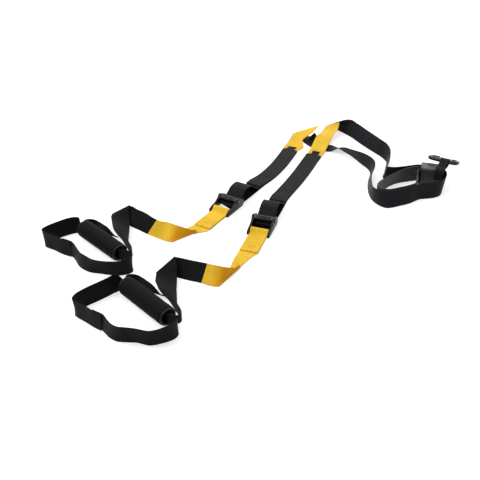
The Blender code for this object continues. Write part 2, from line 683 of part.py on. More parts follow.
# Main strap, from the left tab's fold, under the right tab, round the anchor's bight and
# back to the right tab's fold.
MAIN_SHARES = [
    (148, 494, 0, 187, 466, 0.22, 1.25), (154, 474, 0, 186, 456, 0.33, 1.04),
    (162, 450, 0, 184, 446, 0.70, 1.02), (170, 435, 0, 191, 457, 0.28), (180, 421, 0, 200, 452, 0.10),
    (192, 410, 0, 209, 444, 0.03), (206, 403, 0, 218, 439, 0), (223, 398, 0.04, 231, 434, 0),
    (240, 386, 0.42, 245, 418, 0),
    (254, 370, 0.65, 258, 397, 0),
    (266, 352, 0.80, 270, 379, 0), (289, 322, 0.93, 289, 336, 0), (306, 294, 1, 303, 304, 0),
    (310, 272, 1, 304, 280, 0), (305, 246, 0.95, 297, 257, 0), (293, 212, 0.95, 290, 225, 0),
    (288, 176, 0.95, 287, 190, 0), (288, 153, 1, 290, 161, 0), (298, 138, 1, 300, 140, 0),
    (315, 135, 1, 316, 126, 0), (340, 143, 1, 343, 134, 0), (368, 153, 1, 371, 147, 0),
    (390, 166, 1, 393, 163, 0), (424, 176, 1, 426, 170, 0), (447, 189, 1, 442, 180, 0),
    (459, 207, 1, 451, 200, 0.02), (460, 224, 1, 453, 222, 0.07), (447, 238, 1, 443, 238, 0.08),
    (407, 252, 1, 405, 252, 0.08), (375, 248, 1, 376, 252, 0.03), (350, 245, 1, 350, 248, 0),
    (335, 248, 1, 334, 252, 0), (337, 257, 1, 331, 266, 0), (343, 274, 1, 337, 284, 0),
    (351, 306, 1, 345, 314, 0), (356, 338, 1, 352, 342, 0), (353, 370, 1, 346, 366, 0),
    (345, 390, 1, 335, 387, 0), (325, 440, 0.9, 310, 431, 0), (299, 497, 0.85, 283, 486, 0),
    (288, 508, 1, 268, 509, 0, 1.1), (279, 508, 1, 253, 529, 0, 1.33), (266, 503, 1, 240, 550, 0, 1.75),
    (260, 499, 1, 234, 558, 0, 1.95)]

# Sewn anchor loop inside the bight, from the sleeve round and back to it.
ANCHOR_LOOP_SHARES = [
    (441, 234, 0.98, 440, 234, 0.08), (406, 245, 0.98, 405, 245, 0.08), (380, 241, 0.98, 382, 244, 0.02),
    (352, 225, 0.90, 356, 236, 0), (326, 203, 0.86, 331, 216, 0), (307, 181, 0.90, 311, 191, 0),
    (299, 164, 0.96, 300, 168, 0), (303, 150, 0.98, 304, 151, 0), (319, 143, 0.98, 319, 141, 0),
    (341, 150, 0.98, 343, 145, 0), (365, 160, 0.98, 367, 156, 0), (383, 171, 0.98, 385, 169, 0),
    (391, 187, 0.98, 393, 187, 0), (394, 208, 0.98, 395, 208, 0.05), (399, 225, 0.98, 399, 225, 0.08),
    (403, 230, 0.98, 403, 230, 0.08), (411, 230, 0.98, 411, 230, 0.08),
    (425, 226, 0.98, 425, 226, 0.08), (440, 223, 0.98, 440, 223, 0.08)]


def make_side(side, grip_place, place, tables):
    make_grip(side, grip_place)
    make_cradle(side, grip_place, tables["cradle"], tables["lap"])
    make_buckle(side, place)
    looped = smooth(loop_strap_rungs(place) + rungs_from(tables["lower"]))
    joint = length_of(looped)
    whole = smooth(loop_strap_rungs(place) + rungs_from(tables["lower"] + tables["riser"]))
    webbing(f"{side}_lower_strap", stretch_of(whole, 0.0, joint), yellow_webbing)
    strap = stretch_of(whole, joint + SEAT_GAP, length_of(whole) - SEAT_GAP)
    strap += folded(strap)
    strap += smooth([strap[-1]] + rungs_from(tables["panel"]) + grip_loop_rungs(grip_place))[1:]
    webbing(f"{side}_handle_strap", strap, black_webbing)

    run = rungs_from(tables["run"])
    webbing(f"{side}_adjust_strap", smooth(run[::-1] + adjust_strap_rungs(place)), black_webbing)
    arch_end = STRAP_BAR_Y + ARCH_SPAN
    deck = smooth([frame_rung(place, arch_end, WEBBING_THICKNESS / 2),
                   frame_rung(place, arch_end + ARCH_TAIL, WEBBING_THICKNESS / 2)] + run)
    patch_start = length_of(deck) - PATCH_LENGTH * tables["patch share"]
    sleeve = stretch_of(deck, ARCH_TAIL * 0.3, patch_start - SEAT_GAP)
    plies, walked = [], 0.0
    for before, after in zip([sleeve[0]] + sleeve, sleeve):
        walked += (middle(after) - middle(before)).length
        drop = (walked - ARCH_TAIL * 0.72) / (PATCH_TONGUE * 2)
        plies.append(2.0 - min(max(drop, 0.0), 1.0))
    webbing(f"{side}_tail_sleeve", shifted(sleeve, plies), black_webbing)

    tab = smooth(rungs_from(tables["tab"]))
    webbing(f"{side}_upper_tab", tab, yellow_webbing)
    patch = shifted(stretch_of(deck, patch_start, length_of(deck) - SEAT_GAP), 1.0)
    tongue = shifted(stretch_of(tab, SEAT_GAP, PATCH_TONGUE), 1.0)
    narrow = (1 - PATCH_TONGUE_WIDTH / WEBBING_WIDTH) / 2
    patch += [(one.lerp(two, narrow), two.lerp(one, narrow)) for one, two in tongue]
    webbing(f"{side}_keeper_patch", patch, black_webbing)


def placed(spot, heading):
    return Matrix.Translation(spot) @ Matrix.Rotation(math.radians(heading), 4, "Z")


RIGHT_TABLES = {
    "cradle": RIGHT_CRADLE_SHARES, "lap": RIGHT_LAP_SHARE, "lower": RIGHT_LOWER_SHARES,
    "riser": RIGHT_RISER_SHARES, "panel": RIGHT_PANEL_SHARES, "run": RIGHT_RUN_SHARES,
    "tab": RIGHT_TAB_SHARES, "patch share": 1.0}
LEFT_TABLES = {
    "cradle": LEFT_CRADLE_SHARES, "lap": LEFT_LAP_SHARE, "lower": LEFT_LOWER_SHARES,
    "riser": LEFT_RISER_SHARES, "panel": LEFT_PANEL_SHARES, "run": LEFT_RUN_SHARES,
    "tab": LEFT_TAB_SHARES, "patch share": 1.5}

right_grip = placed(floor_spot(*RIGHT_GRIP_SHARE, 0.5), RIGHT_GRIP_HEADING)
left_grip = placed(floor_spot(*LEFT_GRIP_SHARE, 0.5), LEFT_GRIP_HEADING)
right_buckle = placed(floor_spot(*RIGHT_BUCKLE_SHARE), RIGHT_BUCKLE_HEADING - 90)
left_buckle = placed(floor_spot(*LEFT_BUCKLE_SHARE), LEFT_BUCKLE_HEADING - 90)
make_side("right", right_grip, right_buckle, RIGHT_TABLES)
make_side("left", left_grip, left_buckle, LEFT_TABLES)

webbing("main_strap", smooth(rungs_from(MAIN_SHARES)), black_webbing)
webbing("anchor_loop", smooth(rungs_from(ANCHOR_LOOP_SHARES)), anchor_webbing)


# Anchor: the sleeve round the strands, and the carabiner on its tab

def make_sleeve(place):
    """A flat closed ring of webbing round the strands; X is along them."""
    half_y, radius = SLEEVE_INSIDE + SLEEVE_WALL, SLEEVE_WALL * 2
    low, high = PLY_GAP, SLEEVE_HEIGHT + SLEEVE_WALL * 2 + PLY_GAP
    corners = [(-half_y + radius, low + radius, 180), (half_y - radius, low + radius, 270),
               (half_y - radius, high - radius, 0), (-half_y + radius, high - radius, 90)]
    outline, inner = [], []
    for y, z, start in corners:
        for step in range(0, 91, 30):
            angle = math.radians(start + step)
            outline.append((y + radius * math.cos(angle), z + radius * math.sin(angle)))
            inner.append((y + (radius - SLEEVE_WALL) * math.cos(angle),
                          z + (radius - SLEEVE_WALL) * math.sin(angle)))
    half = SLEEVE_LENGTH / 2
    ring = plate("sleeve", outline, -half, half, place)
    hole = plate("sleeve_hole", inner, -half - CUT_OVERRUN, half + CUT_OVERRUN, place)
    finished("keeper_sleeve", combine(ring, [hole], "DIFFERENCE"), anchor_webbing, 50)


def make_carabiner(place):
    """A D-shaped body, open on its +Y side where the gate closes it."""
    long, wide = CARABINER_LENGTH / 2 - CARABINER_STOCK, CARABINER_WIDTH / 2 - CARABINER_STOCK
    radius = wide * 0.70
    gate_x, hinge_x = long * 0.47, -long * 0.58
    path = [(gate_x + NOSE_GAP, wide, 0.0)]
    for x, y, start in ((long - radius, wide - radius, 90), (long - radius, -wide + radius, 0),
                        (-long + radius, -wide + radius, -90), (-long + radius, wide - radius, -180)):
        for step in range(0, 91, 15):
            angle = math.radians(start - step)
            path.append((x + radius * math.cos(angle), y + radius * math.sin(angle), 0.0))
    path.append((hinge_x + GATE_RADIUS, wide, 0.0))
    curve = bpy.data.curves.new("body", "CURVE")
    curve.dimensions = "3D"
    curve.bevel_depth = CARABINER_STOCK
    curve.bevel_resolution = 3
    curve.use_fill_caps = True
    line = curve.splines.new("POLY")
    line.points.add(len(path) - 1)
    for point, spot in zip(line.points, path):
        point.co = (*spot, 1.0)
    body = bpy.data.objects.new("body", curve)
    cutters.objects.link(body)
    body.matrix_world = place
    solid = guide("body", evaluated_mesh(body))
    tongue = CARABINER_STOCK * 0.5
    slot = block("slot", (hinge_x - GATE_RADIUS * 1.2, wide - CARABINER_STOCK * 1.5, -tongue - SEAT_GAP),
                 (hinge_x + GATE_RADIUS + CUT_OVERRUN, wide + CARABINER_STOCK * 1.5, tongue + SEAT_GAP), place)
    reach = CARABINER_STOCK
    pin_hole = rod("hole", (hinge_x, wide, -reach - CUT_OVERRUN), (hinge_x, wide, reach + CUT_OVERRUN),
                   GATE_PIN_RADIUS + SEAT_GAP, place, 20)
    finished("carabiner_body", combine(solid, [slot, pin_hole], "DIFFERENCE"), black_alloy)

    heel = hinge_x + GATE_RADIUS * 1.68
    gate = rod("gate", (heel, wide, 0), (gate_x, wide, 0), GATE_RADIUS, place, 24)
    eye = rod("eye", (hinge_x, wide, -tongue), (hinge_x, wide, tongue), GATE_RADIUS * 0.9, place, 24)
    web = block("web", (hinge_x, wide - GATE_RADIUS * 0.75, -tongue),
                (heel + GATE_RADIUS * 0.5, wide + GATE_RADIUS * 0.75, tongue), place)
    gate = combine(gate, [eye, web], "UNION")
    eye_hole = rod("eye_hole", (hinge_x, wide, -tongue - CUT_OVERRUN), (hinge_x, wide, tongue + CUT_OVERRUN),
                   GATE_PIN_RADIUS + SEAT_GAP, place, 20)
    finished("carabiner_gate", combine(gate, [eye_hole], "DIFFERENCE"), steel)
    pin = rod("pin", (hinge_x, wide, -reach), (hinge_x, wide, reach), GATE_PIN_RADIUS, place, 16)
    finished("gate_pin", pin, steel)


def make_anchor_tab():
    """A narrow loop of webbing round the carabiner's spine and over the sleeve's edge."""
    spine = floor_spot(*SPINE_SHARES)
    turn = CARABINER_STOCK + PLY_GAP + WEBBING_THICKNESS / 2
    ply = WEBBING_THICKNESS + PLY_GAP
    over = SLEEVE_HEIGHT + SLEEVE_WALL * 2 + PLY_GAP * 2 + WEBBING_THICKNESS / 2 - spine.z
    low = TAB_WIDTH * 1.25 - spine.z
    front = SLEEVE_INSIDE * 2.16
    lower = [(front, low, 18), (front, over - ply * 2.6, 18), (front - ply * 0.5, over - ply * 0.8, 18),
             (front - ply * 1.7, over, 16), (front * 0.5, over, 6), (turn * 1.2, over + PLY_GAP, 0)]
    wrap = []
    for degrees in range(-90, 150, 24):
        angle = math.radians(degrees)
        wrap.append((-turn * math.cos(angle), turn * math.sin(angle), 0))
    upper = [(front * 0.55, over + ply * 1.1, 6), (front - ply * 1.7, over + ply, 16),
             (front + ply * 0.5, over - ply * 0.2, 18), (front + ply, over - ply * 2.6, 18),
             (front + ply, low, 18)]
    rungs = []
    for back, rise, turned_by in lower + wrap + upper:
        line = Matrix.Rotation(math.radians(CARABINER_HEADING), 3, "Z")
        across = Matrix.Rotation(math.radians(CARABINER_HEADING + turned_by), 3, "Z")
        half = across @ Vector((TAB_WIDTH / 2, 0, 0))
        spot = spine + line @ Vector((0, -back, 0)) + Vector((0, 0, rise))
        rungs.append((spot - half, spot + half))
    webbing("anchor_tab", smooth(rungs), black_webbing)


make_sleeve(placed(floor_spot(*SLEEVE_SHARE), SLEEVE_HEADING))
carabiner_place = (
    placed(floor_spot(*SPINE_SHARES), CARABINER_HEADING)
    @ Matrix.Rotation(math.radians(CARABINER_TILT), 4, "X")
    @ Matrix.Translation((-CARABINER_LENGTH * 0.11, CARABINER_WIDTH / 2 - CARABINER_STOCK, 0)))
make_carabiner(carabiner_place)
make_anchor_tab()
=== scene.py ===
"""Looks of the suspension trainer, laid out on a pale floor as in the photograph.

The webbing, grips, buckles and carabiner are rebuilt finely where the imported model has
them.  Metres, +Z up, +X from the handles to the anchor.
"""
import itertools
import json
import math

import bmesh
import bpy
import numpy as np
from mathutils import Matrix, Vector, noise

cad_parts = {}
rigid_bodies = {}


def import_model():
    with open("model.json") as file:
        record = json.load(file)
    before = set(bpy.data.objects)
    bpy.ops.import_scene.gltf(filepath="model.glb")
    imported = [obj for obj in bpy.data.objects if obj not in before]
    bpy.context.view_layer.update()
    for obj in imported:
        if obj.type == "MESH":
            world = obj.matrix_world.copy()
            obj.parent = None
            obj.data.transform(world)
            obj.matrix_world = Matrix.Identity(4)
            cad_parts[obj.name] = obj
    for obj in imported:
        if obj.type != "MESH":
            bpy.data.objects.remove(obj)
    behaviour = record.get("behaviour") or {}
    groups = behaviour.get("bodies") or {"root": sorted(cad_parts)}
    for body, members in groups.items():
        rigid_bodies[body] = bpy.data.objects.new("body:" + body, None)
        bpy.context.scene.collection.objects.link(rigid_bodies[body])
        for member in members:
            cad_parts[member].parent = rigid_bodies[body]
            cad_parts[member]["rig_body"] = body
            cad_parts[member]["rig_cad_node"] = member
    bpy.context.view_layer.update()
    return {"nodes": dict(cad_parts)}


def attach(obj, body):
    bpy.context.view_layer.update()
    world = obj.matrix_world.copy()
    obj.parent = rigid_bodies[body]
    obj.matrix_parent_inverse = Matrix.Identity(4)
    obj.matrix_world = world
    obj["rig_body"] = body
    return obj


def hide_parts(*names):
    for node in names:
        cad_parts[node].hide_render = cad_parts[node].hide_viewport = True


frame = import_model()
bpy.ops.object.select_all(action="DESELECT")


# Camera.  The photograph is taken from the near side, about 33 degrees above the floor,
# with a lens of moderate length, and the trainer nearly fills the square from side to side.
CAMERA_PLACE = (-0.0531, -1.3524, 0.803)
CAMERA_AIM = Vector((0, 1.237, -0.803))
SENSOR_WIDTH = 36.0
LENS_LENGTH = 54.98
bpy.ops.object.camera_add(location=CAMERA_PLACE)
camera = bpy.context.object
camera.rotation_euler = CAMERA_AIM.to_track_quat("-Z", "Y").to_euler()
camera.data.sensor_width = SENSOR_WIDTH
camera.data.lens = LENS_LENGTH
bpy.context.scene.camera = camera


# Floor and lamps.  A white paper sweep, with a broad soft lamp behind, one at the left, one
# overhead and a weak one at the near right, which leave pale tops and darker near sides.
PAPER_SIZE = 80.0
PAPER_DROP = 0.0004
PAPER_GLOW = 0.62
ROOM_LIGHT = 0.36
LAMPS = [  # name, place, side of its square, power
    ("back_softbox", (0.1, 1.7, 1.35), 1.8, 18.0),
    ("left_softbox", (-1.3, -0.3, 1.6), 1.1, 23.0),
    ("overhead_softbox", (0.1, -0.1, 2.0), 1.4, 9.0),
    ("near_right_softbox", (1.5, -1.2, 1.0), 1.2, 1.5)]


def linear(hex_colour):
    """An sRGB hex colour as the linear values that a shader takes."""
    made = []
    for place in (1, 3, 5):
        value = int(hex_colour[place:place + 2], 16) / 255
        made.append(value / 12.92 if value <= 0.04045 else ((value + 0.055) / 1.055) ** 2.4)
    return (*made, 1.0)


def add_node(material, kind, inputs=None, **settings):
    """Adds a node with its settings; inputs are values, or sockets to link from."""
    made = material.node_tree.nodes.new(kind)
    for name, value in settings.items():
        setattr(made, name, value)
    for name, value in (inputs or {}).items():
        if isinstance(value, bpy.types.NodeSocket):
            material.node_tree.links.new(value, made.inputs[name])
        else:
            made.inputs[name].default_value = value
    return made


def new_material(name):
    made = bpy.data.materials.new(name)
    made.use_nodes = True
    made.node_tree.nodes.clear()
    return made


def show(material, surface):
    add_node(material, "ShaderNodeOutputMaterial", {"Surface": surface})
    return material


bpy.ops.mesh.primitive_plane_add(size=PAPER_SIZE, location=(0, 0, -PAPER_DROP))
floor = bpy.context.object
floor.name = "paper_sweep"
# Matt paper: fibres that scatter the light evenly.  Its grain is drawn at about 1 mm, coarser
# than real.  A glow that only the eye sees lifts it to the white of the photograph.
paper = new_material("matt_white_paper")
paper_grain = add_node(paper, "ShaderNodeTexNoise", {
    "Vector": add_node(paper, "ShaderNodeTexCoord").outputs["Object"], "Scale": 900.0})
paper_bump = add_node(paper, "ShaderNodeBump", {
    "Height": paper_grain.outputs["Fac"], "Strength": 0.1, "Distance": 0.0002})
paper_lit = add_node(paper, "ShaderNodeBsdfPrincipled", {
    "Base Color": linear("#CFCFCF"), "Roughness": 0.9, "Normal": paper_bump.outputs["Normal"]})
paper_glow = add_node(paper, "ShaderNodeEmission", {
    "Color": linear("#FFFFFF"), "Strength": PAPER_GLOW})
paper_both = add_node(paper, "ShaderNodeAddShader", {
    0: paper_lit.outputs[0], 1: paper_glow.outputs[0]})
paper_path = add_node(paper, "ShaderNodeLightPath")
paper_seen = add_node(paper, "ShaderNodeMath", {
    0: paper_path.outputs["Is Camera Ray"],
    1: paper_path.outputs["Is Glossy Ray"]}, operation="MAXIMUM")
show(paper, add_node(paper, "ShaderNodeMixShader", {
    0: paper_seen.outputs[0], 1: paper_lit.outputs[0], 2: paper_both.outputs[0]}).outputs[0])
floor.data.materials.append(paper)

world = bpy.data.worlds.new("studio")
bpy.context.scene.world = world
world.use_nodes = True
world.node_tree.nodes.clear()
room_path = add_node(world, "ShaderNodeLightPath")
room_seen = add_node(world, "ShaderNodeMath", {
    0: room_path.outputs["Is Camera Ray"],
    1: room_path.outputs["Is Glossy Ray"]}, operation="MAXIMUM")
room_dim = add_node(world, "ShaderNodeBackground", {
    "Color": linear("#FFFFFF"), "Strength": ROOM_LIGHT})
room_white = add_node(world, "ShaderNodeBackground", {"Color": linear("#FFFFFF"), "Strength": 1.0})
room_mix = add_node(world, "ShaderNodeMixShader", {
    0: room_seen.outputs[0], 1: room_dim.outputs[0], 2: room_white.outputs[0]})
add_node(world, "ShaderNodeOutputWorld", {"Surface": room_mix.outputs[0]})

for lamp_name, lamp_place, lamp_size, lamp_power in LAMPS:
    bpy.ops.object.light_add(type="AREA", location=lamp_place)
    lamp = bpy.context.object
    lamp.name = lamp_name
    lamp.data.shape = "SQUARE"
    lamp.data.size = lamp_size
    lamp.data.energy = lamp_power
    lamp.rotation_euler = (-Vector(lamp_place)).to_track_quat("-Z", "Y").to_euler()
bpy.context.scene.view_settings.view_transform = "Standard"


# Black webbing.  Polyester webbing 38 mm wide, woven in a fine herringbone with a beaded
# selvedge: a matt dark face with a soft sheen where the light grazes it.
WEB_STEP = 0.0035
WEB_HALF_THICKNESS = 0.00095
WEB_WAVE = 0.00022
WAVES_PER_METRE = 48.0
SELVEDGE = 0.0022
SELVEDGE_BEAD = 0.0009
BEAD_ROUND = 0.00025
FACE_HEIGHT = 0.88
ZIGZAG_REACH = 0.0038
RIB_PITCH = 0.0021
CORD_PITCH = 0.00127
# How much the warp cords and the fuzz add to the ribs' height, and how far the shine strays.
CORD_RELIEF, FUZZ_RELIEF = 0.2, 0.8
SHINE_SPREAD = 0.07
LEAST_GAP = 0.002
# The way from which the yellow folds are painted a deeper orange as painted shade; "turned"
# measures how far a face turns to it.
PAINTED_SHADE_WAY = np.array((0.55, -0.83, 0.0))
# Share of the half width, how far in from there, and the height as a share of half the
# thickness.  The section's other half is the same, turned round.
HALF_SECTION = [
    (-1, SELVEDGE, 0.86), (-0.6, 0, FACE_HEIGHT), (-0.2, 0, FACE_HEIGHT), (0.2, 0, FACE_HEIGHT),
    (0.6, 0, FACE_HEIGHT), (1, SELVEDGE, 0.86), (1, SELVEDGE_BEAD, 1.0), (1, BEAD_ROUND, 0.66),
    (1, 0, 0), (1, BEAD_ROUND, -0.66), (1, SELVEDGE_BEAD, -1.0)]
WEB_SECTION = HALF_SECTION + [(-share, inset, -height) for share, inset, height in HALF_SECTION]
# Each laid strap's middle line, for the stitches to follow.
laid = {}


def rings_from(start, near):
    """Rings of four points, walked from a strap's end; None if start isn't an end."""
    seen, rings = set(start), [sorted(start)]
    while len(seen) < len(near):
        ring = set().union(*(near[point] for row in rings[-2:] for point in row)) - seen
        if len(ring) not in (2, 4):
            return None
        seen |= ring
        rings.append(sorted(ring))
    return rings


def in_step(ring, before):
    """The ring's points in the order of the ring before it; two points replace one edge's."""
    orders = [np.array(order) for order in itertools.permutations(ring)]
    if len(ring) == 2:
        orders = [np.concatenate([order, before[2:]]) for order in orders] + [
            np.concatenate([before[:2], order]) for order in orders]
    return min(orders, key=lambda order: np.linalg.norm(order - before, axis=1).sum())


def rungs_of(node):
    """The two edges of a packed strap's middle surface, and which way its face looks."""
    shape = bmesh.new()
    shape.from_mesh(frame["nodes"][node].data)
    bmesh.ops.remove_doubles(shape, verts=shape.verts, dist=0.00002)
    shape.verts.index_update()
    near = {v.index: {e.other_vert(v).index for e in v.link_edges} for v in shape.verts}
    spots = [np.array(v.co) for v in shape.verts]
    rings = None
    for edge in shape.edges:
        start = {v.index for face in edge.link_faces for v in face.verts}
        rings = rings_from(start, near) if len(start) == 4 else None
        if rings:
            break
    shape.free()
    rings = [[spots[v] for v in ring] for ring in rings]
    first = rings[0]
    mate = min((1, 2, 3), key=lambda k: np.linalg.norm(first[0] - first[k]))
    others = [first[k] for k in (1, 2, 3) if k != mate]
    if np.linalg.norm(first[0] - others[0]) > np.linalg.norm(first[0] - others[1]):
        others = others[::-1]
    ordered = [np.array([first[0], first[mate], others[0], others[1]])]
    for ring in rings[1:]:
        ordered.append(in_step(ring, ordered[-1]))
    ordered = np.array(ordered)
    if ordered[0, :, 0].mean() > ordered[-1, :, 0].mean():
        ordered = ordered[::-1]
    ones, twos = ordered[:, 0:2].mean(axis=1), ordered[:, 2:4].mean(axis=1)
    ups = ordered[:, 0] - ordered[:, 1] + ordered[:, 2] - ordered[:, 3]
    return ones, twos, ups / np.linalg.norm(ups, axis=1)[:, None]


def between(points, index, share):
    """A point on the smooth curve through a row of points."""
    a, b, c, d = (points[min(max(index + k, 0), len(points) - 1)] for k in (-1, 0, 1, 2))
    gaps = [max(np.linalg.norm(q - p), LEAST_GAP) ** 0.5 for p, q in ((a, b), (b, c), (c, d))]
    enter = ((c - b) / gaps[1] - (c - a) / (gaps[0] + gaps[1]) + (b - a) / gaps[0]) * gaps[1]
    leave = ((d - c) / gaps[2] - (d - b) / (gaps[1] + gaps[2]) + (c - b) / gaps[1]) * gaps[1]
    cube, square = share ** 3, share ** 2
    spot = (b * (2 * cube - 3 * square + 1) + enter * (cube - 2 * square + share)
            + c * (3 * square - 2 * cube) + leave * (cube - square))
    spot[2] = max(spot[2], min(b[2], c[2]))
    return spot


def lay_webbing(node, finish, rungs=None):
    """Webbing laid along a packed strap, with selvedges, slight waves and a UV map in metres."""
    ones, twos, ups = rungs_of(node) if rungs is None else rungs
    edges = [[], [], []]
    for index in range(len(ones) - 1):
        reach = max(np.linalg.norm(row[index + 1] - row[index]) for row in (ones, twos))
        count = max(2, math.ceil(reach / WEB_STEP))
        for part in range(count):
            share = part / count
            edges[0].append(between(ones, index, share))
            edges[1].append(between(twos, index, share))
            edges[2].append(ups[index] * (1 - share) + ups[index + 1] * share)
    for row, last in zip(edges, (ones[-1], twos[-1], ups[-1])):
        row.append(last)
    ones, twos, ups = (np.array(row) for row in edges)
    middles = (ones + twos) / 2
    across = twos - ones
    widths = np.linalg.norm(across, axis=1)
    across /= widths[:, None]
    faces_up = np.cross(across, np.gradient(middles, axis=0))
    faces_up *= np.sign((faces_up * ups).sum(axis=1))[:, None]
    faces_up /= np.linalg.norm(faces_up, axis=1)[:, None]
    along = np.concatenate([[0], np.cumsum(np.linalg.norm(np.diff(middles, axis=0), axis=1))])
    laid[node] = (middles, across, faces_up, widths, along)

    rows = len(middles)
    ring = len(WEB_SECTION)
    spots = np.zeros((rows, ring, 3))
    sides = np.zeros((rows, ring))
    for k, (share, inset, height) in enumerate(WEB_SECTION):
        offset = share * widths / 2 - math.copysign(inset, share)
        sides[:, k] = offset
        for row in range(rows):
            place = middles[row] + across[row] * offset[row]
            lift = WEB_WAVE * noise.noise(Vector(place) * WAVES_PER_METRE)
            spots[row, k] = place + faces_up[row] * (WEB_HALF_THICKNESS * height + lift)
    spots[:, :, 2] = np.maximum(spots[:, :, 2], 0.0)
    quads = [(row * ring + k, row * ring + (k + 1) % ring,
              (row + 1) * ring + (k + 1) % ring, (row + 1) * ring + k)
             for row in range(rows - 1) for k in range(ring)]
    caps = [tuple(range(ring))[::-1], tuple((rows - 1) * ring + k for k in range(ring))]
    mesh = bpy.data.meshes.new(node + "_webbing")
    mesh.from_pydata(spots.reshape(-1, 3).tolist(), [], quads + caps)
    weave = mesh.uv_layers.new(name="weave")
    place_along = np.repeat(along, ring)
    place_across = sides.reshape(-1)
    corner = np.zeros(len(mesh.loops), np.int32)
    mesh.loops.foreach_get("vertex_index", corner)
    weave.data.foreach_set("uv", np.stack(
        [place_along[corner], place_across[corner]], axis=1).astype(np.float32).ravel())
    # Painted shade: how far each rung's face turns to the painted-shade way above, which sets where
    # a finish paints its deeper shade tone.
    turned = mesh.attributes.new("turned", "FLOAT", "POINT")
    turned.data.foreach_set(
        "value", np.repeat(np.abs(faces_up @ PAINTED_SHADE_WAY), ring).astype(np.float32))
    edge = mesh.attributes.new("selvedge", "FLOAT", "POINT")
    edge.data.foreach_set(
        "value", np.repeat(widths / 2, ring).astype(np.float32) - np.abs(place_across))
    shape = bmesh.new()
    shape.from_mesh(mesh)
    bmesh.ops.recalc_face_normals(shape, faces=shape.faces)
    shape.to_mesh(mesh)
    shape.free()
    mesh.shade_smooth()
    made = bpy.data.objects.new(mesh.name, mesh)
    bpy.context.scene.collection.objects.link(made)
    mesh.materials.append(finish)
    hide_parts(node)
    return made


def woven(name, warp, weft_and_valley_shade, edge_tone, roughness, sheen, shine_level=0.05, painted_shade_tone=None):
    """Webbing's finish: herringbone ribs along it, a plainer selvedge, and handling marks.
    The weft tone, set by the relief, is partly painted shade that darkens the rib valleys.

    The zigzag turns every 3.8 mm, a tenth of the width, and the warp cords lie 1.27 mm apart.
    The ribs are drawn 2.1 mm apart, coarser than in real webbing, or they wouldn't show.
    """
    made = new_material(name)
    weave = add_node(made, "ShaderNodeSeparateXYZ", {
        0: add_node(made, "ShaderNodeUVMap", uv_map="weave").outputs["UV"]})
    zigzag = add_node(made, "ShaderNodeMath", {
        0: weave.outputs["Y"], 1: ZIGZAG_REACH}, operation="PINGPONG")
    slope = add_node(made, "ShaderNodeMath", {
        0: weave.outputs["X"], 1: zigzag.outputs[0]}, operation="ADD")
    turns = add_node(made, "ShaderNodeMath", {
        0: slope.outputs[0], 1: 2 * math.pi / RIB_PITCH}, operation="MULTIPLY")
    ribs = add_node(made, "ShaderNodeMath", {0: turns.outputs[0]}, operation="SINE")
    cords = add_node(made, "ShaderNodeMath", {
        0: weave.outputs["Y"], 1: 2 * math.pi / CORD_PITCH}, operation="MULTIPLY")
    columns = add_node(made, "ShaderNodeMath", {0: cords.outputs[0]}, operation="SINE")
    raised = add_node(made, "ShaderNodeMath", {
        0: columns.outputs[0], 1: CORD_RELIEF, 2: ribs.outputs[0]}, operation="MULTIPLY_ADD")
    spots = add_node(made, "ShaderNodeTexCoord")
    fuzz = add_node(made, "ShaderNodeTexNoise", {
        "Vector": spots.outputs["Object"], "Scale": 1400.0, "Detail": 3.0})
    marks = add_node(made, "ShaderNodeTexNoise", {
        "Vector": spots.outputs["Object"], "Scale": 21.0, "Detail": 4.0, "Roughness": 0.6})
    share = add_node(made, "ShaderNodeMapRange", {
        "Value": raised.outputs[0], "From Min": -1 - CORD_RELIEF, "From Max": 1 + CORD_RELIEF})
    # Painted shade, partly: the weft tone fills the rib valleys and the warp tone the raised ribs,
    # so the valleys come out darker, besides the yarns' own colours.
    yarn_and_valley_shade = add_node(made, "ShaderNodeMix", {
        "Factor": share.outputs[0], "A": linear(weft_and_valley_shade), "B": linear(warp)}, data_type="RGBA")
    edge = add_node(made, "ShaderNodeAttribute", attribute_name="selvedge")
    bead = add_node(made, "ShaderNodeMapRange", {
        "Value": edge.outputs["Fac"], "From Min": 0.0008, "From Max": 0.0026,
        "To Min": 0.8, "To Max": 0.0})
    edged = add_node(made, "ShaderNodeMix", {
        "Factor": bead.outputs[0], "A": yarn_and_valley_shade.outputs["Result"],
        "B": linear(edge_tone)}, data_type="RGBA")
    # Painted shade: faces that turn to the painted-shade way are mixed toward a deeper tone, as if
    # in shade.
    if painted_shade_tone:
        turned = add_node(made, "ShaderNodeAttribute", attribute_name="turned")
        painted_shade_share = add_node(made, "ShaderNodeMapRange", {
            "Value": turned.outputs["Fac"], "From Min": 0.5, "From Max": 0.8,
            "To Min": 0.0, "To Max": 0.8})
        edged = add_node(made, "ShaderNodeMix", {
            "Factor": painted_shade_share.outputs[0], "A": edged.outputs["Result"],
            "B": linear(painted_shade_tone)}, data_type="RGBA")
    tone = add_node(made, "ShaderNodeMapRange", {
        "Value": marks.outputs["Fac"], "From Min": 0.3, "From Max": 0.7,
        "To Min": 0.86, "To Max": 1.12})
    shaded = add_node(made, "ShaderNodeVectorMath", {
        0: edged.outputs["Result"], "Scale": tone.outputs[0]}, operation="SCALE")
    relief = add_node(made, "ShaderNodeMath", {
        0: fuzz.outputs["Fac"], 1: FUZZ_RELIEF, 2: raised.outputs[0]}, operation="MULTIPLY_ADD")
    bump = add_node(made, "ShaderNodeBump", {
        "Height": relief.outputs[0], "Strength": 0.3, "Distance": 0.0002})
    shine = add_node(made, "ShaderNodeMapRange", {
        "Value": marks.outputs["Fac"],
        "To Min": roughness - SHINE_SPREAD, "To Max": roughness + SHINE_SPREAD})
    return show(made, add_node(made, "ShaderNodeBsdfPrincipled", {
        "Base Color": shaded.outputs[0], "Roughness": shine.outputs[0],
        "Sheen Weight": sheen, "Sheen Roughness": 0.4, "Specular IOR Level": shine_level,
        "Normal": bump.outputs["Normal"]}).outputs[0])


